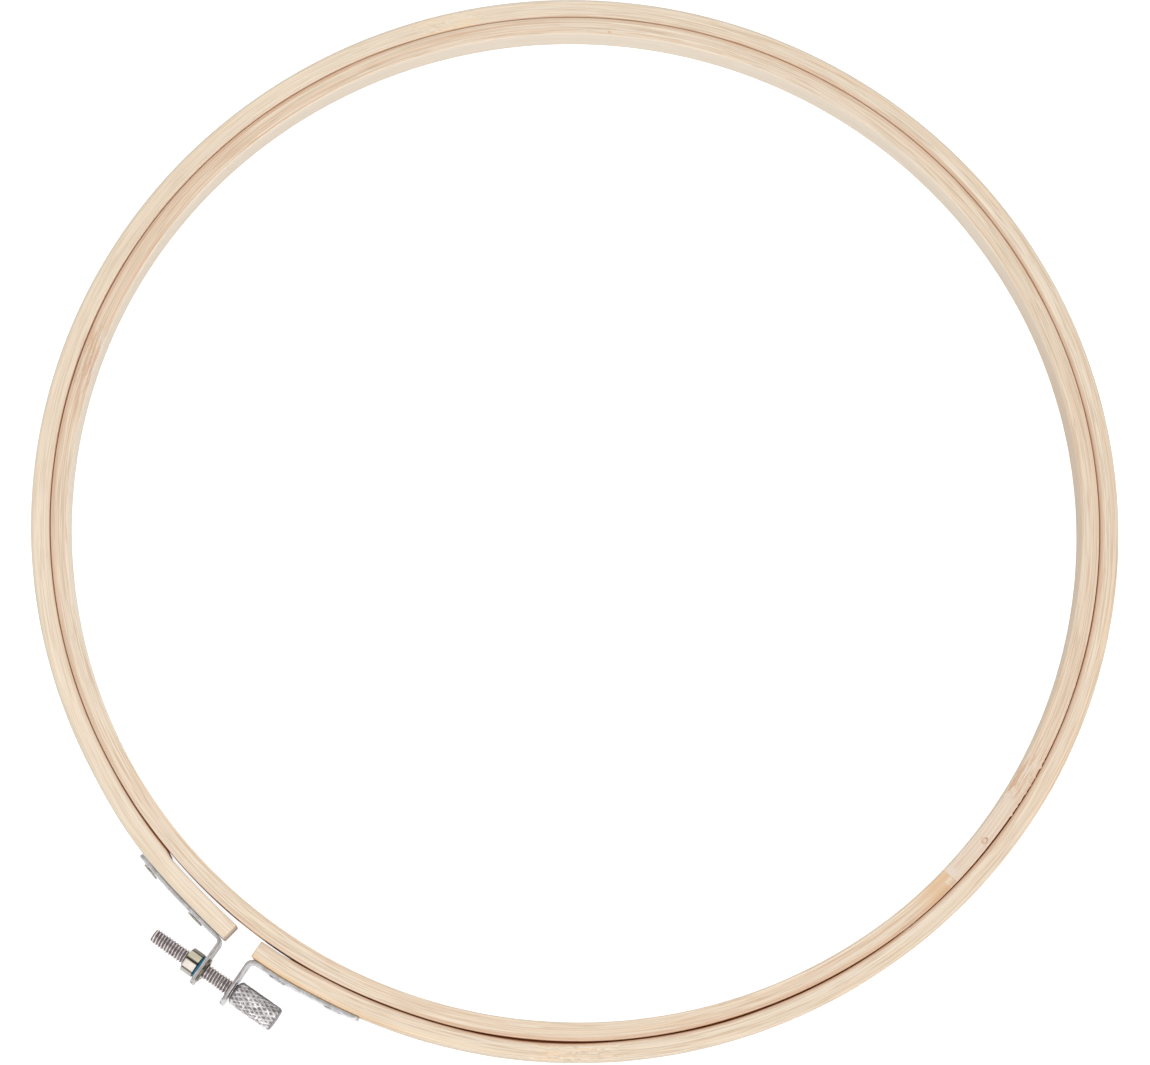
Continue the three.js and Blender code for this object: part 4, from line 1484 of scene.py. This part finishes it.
# The corner is greyer on one half of the ring.
grey_side = between(tree, parts["X"], 250.0, 380.0)
grey_corner = calculate(tree, "MULTIPLY", between(tree, across, 3.7, 4.05), grey_side)
colour = tint(tree, colour, grey_corner, SKIN_GREY, 0.6)
on_top = between(tree, parts["Z"], MIDDLE, RING_HEIGHT - 0.6)
# Next to the head's strap the rounded outer edge is painted orange: painted shade.
near_strap = between(tree, parts["X"], 60.0, 20.0)
near_strap = calculate(tree, "MULTIPLY", near_strap, on_top)
strap_edge_shade = calculate(tree, "MULTIPLY", between(tree, across, 3.85, 4.05), near_strap)
colour = tint(tree, colour, strap_edge_shade, STRAP_EDGE_SHADE_ORANGE, 0.7)

# %% Painted shade at the cloth gap, and the sawn ends
SAWN_REACH = 0.3
# How much painted shade the edge at the cloth gap gets, more towards the head's end.
outer_edge_shade = between(tree, parts["X"], 480.0, 380.0, 0.1, 0.45)
colour, wall = shade_cloth_gap(tree, colour, across, parts["Z"], 0.9, outer_edge_shade)
outer_length = 2 * math.pi * OUTER_MIDDLE
head_end, nut_end = END_FROM[HEAD], outer_length - END_FROM[NUT]
sawn_head = between(tree, parts["X"], head_end + SAWN_REACH, head_end)
sawn_nut = between(tree, parts["X"], nut_end - SAWN_REACH, nut_end)
sawn = calculate(tree, "MAXIMUM", sawn_head, sawn_nut)
colour = tint(tree, colour, sawn, FIBRE_BROWN, 0.2)
finish_bamboo(tree, shader, colour, grain, wall)

# %% [markdown]
# Galvanised steel
#
# Zinc sets in flat crystals a millimetre or two across, each a slightly different grey, so a cell texture
# gives the mottle and a fine noise the roughness. The zinc is partly covered by a dull, pale oxide, so the
# Metallic value is a little over a half, which keeps the straps pale from every side. Smudges, scratches
# and grime are the same noise for every metal here at its own scale, so they are one node group, whose
# grime also darkens grooves by their depth as painted shade.

# %% A group for the smudges, scratches, grime and painted groove shade of all the metals
wear_and_shade, given, result = new_group(
    "metal_wear_and_groove_shade",
    {"Place": "Vector", "Scale": "Float", "Groove": "Float"},
    {"Smudge": "Float", "Scratch": "Float", "Grime_and_shade": "Float"},
)
inputs = {0: given["Place"], 3: given["Scale"]}
scaled = add_node(wear_and_shade, "ShaderNodeVectorMath", inputs, operation="SCALE").outputs[0]
smudge = between(wear_and_shade, cloudy(wear_and_shade, scaled, detail=4, roughness=0.6), 0.35, 0.7)
wear_and_shade.links.new(smudge, result["Smudge"])
fine = cloudy(wear_and_shade, stretched(wear_and_shade, scaled, (2.0, 9.0, 14.0)), detail=3, roughness=0.7)
wear_and_shade.links.new(between(wear_and_shade, fine, 0.5, 0.75), result["Scratch"])
# Grime and painted shade: smudges of grease, made darker with the groove depth.
uneven = calculate(wear_and_shade, "MULTIPLY_ADD", smudge, 0.5, calculate(wear_and_shade, "SUBTRACT", given["Groove"], 0.25))
wear_and_shade.links.new(between(wear_and_shade, uneven, 0.1, 0.85), result["Grime_and_shade"])


def object_place(tree):
    """A point's own coordinates on its piece, in metres, so the finish moves with it."""
    return add_node(tree, "ShaderNodeTexCoord").outputs["Object"]


def groove_depth(tree):
    """How deep in a groove a point lies, or the dirt and painted shade that it was given, as the mesh
    remembers.
    """
    return add_node(tree, "ShaderNodeAttribute", attribute_name=GROOVE).outputs["Fac"]


# %% Galvanised steel, clean and stained
CRYSTALS_PER_METRE = 700.0
ZINC_METALLIC = 0.6
# Colour of the dirt on the lug and of the painted shade on the face towards the wood.
STRAP_DIRT_AND_SHADE = paint(122, 112, 100)


def galvanise(name, light, dark, stain):
    """Zinc crystals in two greys, with smudges of a third colour."""
    material, tree, shader = new_material(name)
    place = object_place(tree)
    cells = {"Vector": place, "Scale": CRYSTALS_PER_METRE}
    crystals = add_node(tree, "ShaderNodeTexVoronoi", cells, feature="F1").outputs["Color"]
    crystal = add_node(tree, "ShaderNodeSeparateColor", {0: crystals}).outputs["Red"]
    worn_and_shaded = use_group(tree, wear_and_shade, Place=place, Scale=650.0)
    colour = blend_colour(tree, crystal, dark, light)
    colour = tint(tree, colour, worn_and_shaded["Smudge"], stain, 0.5)
    colour = tint(tree, colour, worn_and_shaded["Scratch"], light, 0.4)
    # The attribute darkens the lug with dirt and the face towards the wood with painted shade.
    colour = tint(tree, colour, groove_depth(tree), STRAP_DIRT_AND_SHADE, 0.6)
    tree.links.new(colour, shader.inputs["Base Color"])
    tree.links.new(between(tree, worn_and_shaded["Smudge"], 0.0, 1.0, 0.3, 0.48), shader.inputs["Roughness"])
    shader.inputs["Metallic"].default_value = ZINC_METALLIC
    add_bump(tree, shader, crystal, 0.35, 0.00003)
    return material


light, dark, stain = paint(238, 237, 240), paint(204, 203, 205), paint(150, 145, 136)
galvanised = galvanise("galvanised_steel", light, dark, stain)
light, dark, stain = paint(206, 199, 188), paint(162, 154, 140), paint(108, 98, 84)
stained_zinc = galvanise("stained_zinc", light, dark, stain)

# %% [markdown]
# Nickel plate
#
# The nut is smooth and bright, so it mirrors its surroundings: seen from above its faces are bright and
# dark bands that run along it. The room of this scene is plainer than a real one, so these bands are
# painted reflections, tones across the nut's width. The collar has painted highlights on its two beads and
# painted shade in its groove and at its ends, as rings along the screw. Both are one finish, with a ramp of
# tones along a given way.

# %% A ramp of painted reflections on nickel
SCREW_LENGTHWAYS = SCREW_WAY.to_3d()
SCREW_SIDEWAYS = Vector((-SCREW_WAY.y, SCREW_WAY.x, 0))


def from_screw(tree, place, way, begin, end):
    """0 to 1 between two distances from the screw's start, in millimetres along the given way."""
    dot = combine(tree, "DOT_PRODUCT", place, way, output="Value")
    start = (to_model @ SCREW_START.to_3d()).dot(way)
    inputs = {"Value": dot, "From Min": start + begin * MM, "From Max": start + end * MM}
    return add_node(tree, "ShaderNodeMapRange", inputs).outputs["Result"]


NICKEL_SMUDGE = paint(120, 110, 96)


def nickel_plate(name, way, begin, end, tones):
    """Nickel plate with painted reflections and shade, as tones that change between two distances from the
    screw's start.
    """
    material, tree, shader = new_material(name)
    place = object_place(tree)
    ramp = add_node(tree, "ShaderNodeValToRGB", {"Fac": from_screw(tree, place, way, begin, end)})
    elements = ramp.color_ramp.elements
    elements[0].position, elements[0].color = tones[0]
    elements[-1].position, elements[-1].color = tones[-1]
    for position, tone in tones[1:-1]:
        elements.new(position).color = tone
    worn_and_shaded = use_group(tree, wear_and_shade, Place=place, Scale=500.0)
    colour = tint(tree, ramp.outputs["Color"], worn_and_shaded["Smudge"], NICKEL_SMUDGE, 0.3)
    tree.links.new(colour, shader.inputs["Base Color"])
    tree.links.new(between(tree, worn_and_shaded["Scratch"], 0.0, 1.0, 0.16, 0.3), shader.inputs["Roughness"])
    shader.inputs["Metallic"].default_value = 1.0
    add_bump(tree, shader, worn_and_shaded["Smudge"], 0.08, 0.00004)
    return material


# %% The nut and its collar
# Bright and dark bands across the nut's width: painted reflections.
nut_painted_reflections = (
    (0.1, paint(176, 174, 166)),
    (0.145, paint(84, 78, 68)),
    (0.19, paint(176, 168, 160)),
    (0.44, paint(182, 174, 166)),
    (0.5, paint(64, 57, 46)),
    (0.57, paint(90, 82, 66)),
    (0.61, paint(190, 184, 164)),
    (0.82, paint(178, 172, 152)),
    (0.87, paint(88, 76, 66)),
)
nickel = nickel_plate("nickel_plate", SCREW_SIDEWAYS, -NUT_CORNER_RADIUS, NUT_CORNER_RADIUS, nut_painted_reflections)
# Dark rings at the collar's ends and in its groove, pale rings on its two beads: painted shade and painted
# highlights.
collar_painted_bands = (
    (0.0, paint(60, 54, 44)),
    (0.22, paint(196, 188, 164)),
    (0.45, paint(52, 46, 38)),
    (0.75, paint(156, 148, 126)),
    (1.0, paint(70, 63, 52)),
)
nickel_painted_rings = nickel_plate("nickel_painted_rings", SCREW_LENGTHWAYS, COLLAR_FROM, collar_to, collar_painted_bands)

# %% [markdown]
# Turned steel
#
# The screw is bare steel that was only turned and rolled. The grooves of the thread and of the knurl, where
# the mesh remembers a depth, are darkened as painted shade mixed with smudges of old grey grease, and the
# side of the screw that faces the rings is darkened as painted shade. The head is rubbed by fingers, so it
# is a little smoother than the thread and its ridges shine.

# %% The thread and the knurled head
STEEL_METALLIC = 0.75
# Painted shade on the side of the screw that faces the rings.
RING_SIDE_SHADE_GREY = paint(84, 74, 70)


def steel(name, light, dark, grease_and_shade, smoothest, roughest):
    """Bare turned steel, with painted shade and grease in its grooves, and painted shade along one side."""
    material, tree, shader = new_material(name)
    place = object_place(tree)
    worn_and_shaded = use_group(tree, wear_and_shade, Place=place, Scale=700.0, Groove=groove_depth(tree))
    colour = blend_colour(tree, calculate(tree, "MULTIPLY", worn_and_shaded["Smudge"], 0.6), light, dark)
    # The grooves are darkened by their depth: painted shade, with smudges of grease.
    colour = tint(tree, colour, worn_and_shaded["Grime_and_shade"], grease_and_shade, 0.9)
    # The side that faces the rings is painted darker: painted shade.
    ring_side_shade = from_screw(tree, place, SCREW_SIDEWAYS, 2.0, HEAD_RADIUS)
    colour = tint(tree, colour, ring_side_shade, RING_SIDE_SHADE_GREY, 0.8)
    tree.links.new(colour, shader.inputs["Base Color"])
    rough = between(tree, worn_and_shaded["Scratch"], 0.0, 1.0, smoothest, roughest)
    rough = calculate(tree, "MULTIPLY_ADD", worn_and_shaded["Grime_and_shade"], 0.25, rough)
    tree.links.new(rough, shader.inputs["Roughness"])
    shader.inputs["Metallic"].default_value = STEEL_METALLIC
    add_bump(tree, shader, worn_and_shaded["Scratch"], 0.12, 0.00003)
    return material


light, dark, grease_and_shade = paint(240, 232, 233), paint(208, 199, 200), paint(122, 111, 108)
thread_steel = steel("thread_steel", light, dark, grease_and_shade, 0.3, 0.42)
light, dark, grease_and_shade = paint(237, 234, 235), paint(205, 200, 202), paint(124, 116, 116)
knurled_steel = steel("knurled_steel", light, dark, grease_and_shade, 0.25, 0.38)

# %% [markdown]
# Blue nylon
#
# The ring is dyed through and slightly waxy. It has no crystals or plate, so two close blues in smudges and
# a middling roughness with fine scratches are enough.

# %% Dye and gloss of the ring
BLUE, DEEP_BLUE = paint(12, 112, 146), paint(5, 84, 116)
blue_nylon, tree, shader = new_material("blue_nylon")
worn_and_shaded = use_group(tree, wear_and_shade, Place=object_place(tree), Scale=600.0)
colour = blend_colour(tree, calculate(tree, "MULTIPLY", worn_and_shaded["Smudge"], 0.4), BLUE, DEEP_BLUE)
tree.links.new(colour, shader.inputs["Base Color"])
tree.links.new(between(tree, worn_and_shaded["Scratch"], 0.0, 1.0, 0.38, 0.5), shader.inputs["Roughness"])
print("blue_nylon:", len(tree.nodes), "nodes")

# %% [markdown]
# What each piece is made of, moves with and stands for
#
# The table gives every piece its finish, the imported body it rides on, the imported nodes it replaces and the
# record's material slot. The outer ring is the exception: it belongs to both sides, so it isn't in the
# table and rides on no body.

# %% Finish, body, nodes and slot of each piece
TABLE = {
    "inner_ring_wood": (inner_bamboo, "inner", "inner_ring", "inner_bamboo"),
    "nut_bracket_steel": (galvanised, "nut_side", "nut_bracket", "galvanised_steel"),
    "nut_bracket_rivet_1_steel": (stained_zinc, "nut_side", "nut_bracket_rivet_1", "galvanised_steel"),
    "nut_bracket_rivet_2_steel": (stained_zinc, "nut_side", "nut_bracket_rivet_2", "galvanised_steel"),
    "clinch_nut_nickel": (nickel, "nut_side", "clinch_nut", "nickel_plate"),
    "nut_collar_nickel": (nickel_painted_rings, "nut_side", "clinch_nut", "nickel_plate"),
    "blue_ring_nylon": (blue_nylon, "nut_side", "nut_washer", "blue_nylon"),
    "head_bracket_steel": (galvanised, "head_side", "head_bracket", "galvanised_steel"),
    "head_bracket_rivet_1_steel": (galvanised, "head_side", "head_bracket_rivet_1", "galvanised_steel"),
    "head_bracket_rivet_2_steel": (galvanised, "head_side", "head_bracket_rivet_2", "galvanised_steel"),
    "screw_thread_steel": (thread_steel, "screw", "thumb_screw", "turned_steel"),
    "screw_neck_steel": (thread_steel, "screw", "thumb_screw", "turned_steel"),
    "screw_head_steel": (knurled_steel, "screw", "thumb_screw", "turned_steel"),
}
for name, (material, body, node, slot) in TABLE.items():
    piece = pieces[name]
    piece.data.materials.append(material)
    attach(piece, body)
    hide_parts(node)

# %% [markdown]
# The outer ring as one strip
#
# On the real hoop the whole outer ring springs a little when the screw is undone. In the imported part its
# two halves turn on a hinge opposite the split. Here the wood is one strip, which gets its finish while
# the imported halves are hidden. A zone of a few millimetres is worked out and printed; it lies across the
# line from the hinge to the split. No point of the strip is made to follow either half, so it doesn't bend.

# %% Finish the outer ring, and find a zone across the line from the hinge to the split
BEND_ZONE = 3
ring_spring = next(joint for joint in frame["joints"] if joint["name"] == "ring_spring")
hinge = Vector(ring_spring["pos_m"])
split = Vector((0, ring_centre.y - OUTER_MIDDLE * MM, hinge.z))
line = split - hinge
across = Vector((-line.y, line.x, 0)).normalized() * BEND_ZONE * MM
outer_ring = pieces["outer_ring_wood"]
outer_ring.data.materials.append(outer_bamboo)
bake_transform(outer_ring)
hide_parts("outer_ring_nut_half", "outer_ring_head_half")
print("bends across", [round(value * 1000, 2) for value in across], "mm")

# %% [markdown]
# The floor
#
# The photograph shows the hoop from almost straight above, on pure white. The floor is a plain white plane.
# A little light of its own, which only the camera, mirrors and glass see, carries it to white, while the
# soft shadow under the hoop stays.

# %% Floor
FLOOR_SIZE = 6
FLOOR_GREY = 0.4
FLOOR_GLOW = 0.92
bm = bmesh.new()
bmesh.ops.create_grid(bm, x_segments=1, y_segments=1, size=FLOOR_SIZE)
mesh = bpy.data.meshes.new("floor")
bm.to_mesh(mesh)
bm.free()
floor = bpy.data.objects.new("floor", mesh)
bpy.context.scene.collection.objects.link(floor)

white_floor = bpy.data.materials.new("white_floor")
white_floor.use_nodes = True
tree = white_floor.node_tree
tree.nodes.clear()
matt = add_node(tree, "ShaderNodeBsdfDiffuse", {"Color": (FLOOR_GREY, FLOOR_GREY, FLOOR_GREY, 1)}).outputs[0]
rays = add_node(tree, "ShaderNodeLightPath").outputs
seen = calculate(tree, "ADD", rays["Is Camera Ray"], rays["Is Glossy Ray"])
seen = calculate(tree, "ADD", seen, rays["Is Transmission Ray"], clamp=True)
strength = calculate(tree, "MULTIPLY", seen, FLOOR_GLOW)
glow = add_node(tree, "ShaderNodeEmission", {"Strength": strength}).outputs[0]
both = add_node(tree, "ShaderNodeAddShader", {0: matt, 1: glow}).outputs[0]
add_node(tree, "ShaderNodeOutputMaterial", {"Surface": both})
floor.data.materials.append(white_floor)

# %% [markdown]
# The room and the lamps
#
# A metal part shows its surroundings more than its own colour, and without something dark to reflect it
# looks like plaster. So the room is a ramp from white at the horizon to dark overhead. The lamps are large
# and near, so the shadows under the rings are soft, as in the photograph. Two of them face each other
# across the hoop, at the lower left and the upper right of the picture. The third stands low at the lower
# right and lights the inner walls on the left.

# %% The room, bright at the horizon and darker overhead
ROOM_LIGHT = 1.04
world = bpy.data.worlds.new("soft_room")
world.use_nodes = True
tree = world.node_tree
tree.nodes.clear()
direction = add_node(tree, "ShaderNodeTexCoord").outputs["Generated"]
ramp = add_node(tree, "ShaderNodeValToRGB", {"Fac": parts_of(tree, direction)["Z"]})
levels = ((0.0, 1.0), (0.26, 0.85), (0.5, 0.62), (0.71, 0.46), (0.87, 0.28), (0.97, 0.12))
while len(ramp.color_ramp.elements) < len(levels):
    ramp.color_ramp.elements.new(0.5)
for element, (position, level) in zip(ramp.color_ramp.elements, levels):
    element.position = position
    element.color = (level, level, level, 1)
inputs = {"Color": ramp.outputs["Color"], "Strength": ROOM_LIGHT}
background = add_node(tree, "ShaderNodeBackground", inputs).outputs[0]
add_node(tree, "ShaderNodeOutputWorld", {"Surface": background})
bpy.context.scene.world = world


# %% Three soft lamps
LAMP_DISTANCE = 1.3
LAMP_SIZE = 1.3


def soft_lamp(name, azimuth, elevation, power):
    """A square lamp that faces the hoop. Azimuth is from +X, turning towards +Y."""
    turn, rise = math.radians(azimuth), math.radians(elevation)
    way = Vector((math.cos(turn) * math.cos(rise), math.sin(turn) * math.cos(rise), math.sin(rise)))
    light = bpy.data.lights.new(name, "AREA")
    light.shape = "SQUARE"
    light.size = LAMP_SIZE
    light.energy = power
    lamp = bpy.data.objects.new(name, light)
    lamp.location = way * LAMP_DISTANCE
    lamp.rotation_euler = way.to_track_quat("Z", "Y").to_euler()
    bpy.context.scene.collection.objects.link(lamp)


soft_lamp("key_lamp", azimuth=-98, elevation=56, power=8.8)
soft_lamp("fill_lamp", azimuth=97, elevation=33, power=4.4)
soft_lamp("side_lamp", azimuth=-8, elevation=24, power=6.0)

# %% [markdown]
# The camera
#
# The camera stands 0.83 metres above the table and leans by 13 degrees, so a little of the far inside wall
# and of the near outside wall shows. It was fitted to the four edges of the rings in the photograph. Its
# picture is turned by 37 degrees, since the frame lays the split along -Y.

# %% Camera, nearly straight above
CAMERA_FROM = Vector((90.233, -166.724, 825.36))
CAMERA_TO = Vector((1.762, -2.966, 0))
PICTURE_UP = Vector((-0.6009, 0.7993, 0))
LENS = 106.12
SENSOR = 36

forward = (CAMERA_TO - CAMERA_FROM).normalized()
right = forward.cross(PICTURE_UP).normalized()
up = right.cross(forward)
camera_data = bpy.data.cameras.new("camera")
camera_data.lens = LENS
camera_data.sensor_width = SENSOR
camera = bpy.data.objects.new("camera", camera_data)
turn = Matrix((right, up, -forward)).transposed().to_4x4()
camera.matrix_world = Matrix.Translation(to_model @ CAMERA_FROM) @ turn
bpy.context.scene.collection.objects.link(camera)
bpy.context.scene.camera = camera
bpy.context.scene.view_settings.view_transform = "Standard"
print("camera", [round(value, 4) for value in camera.matrix_world.translation])
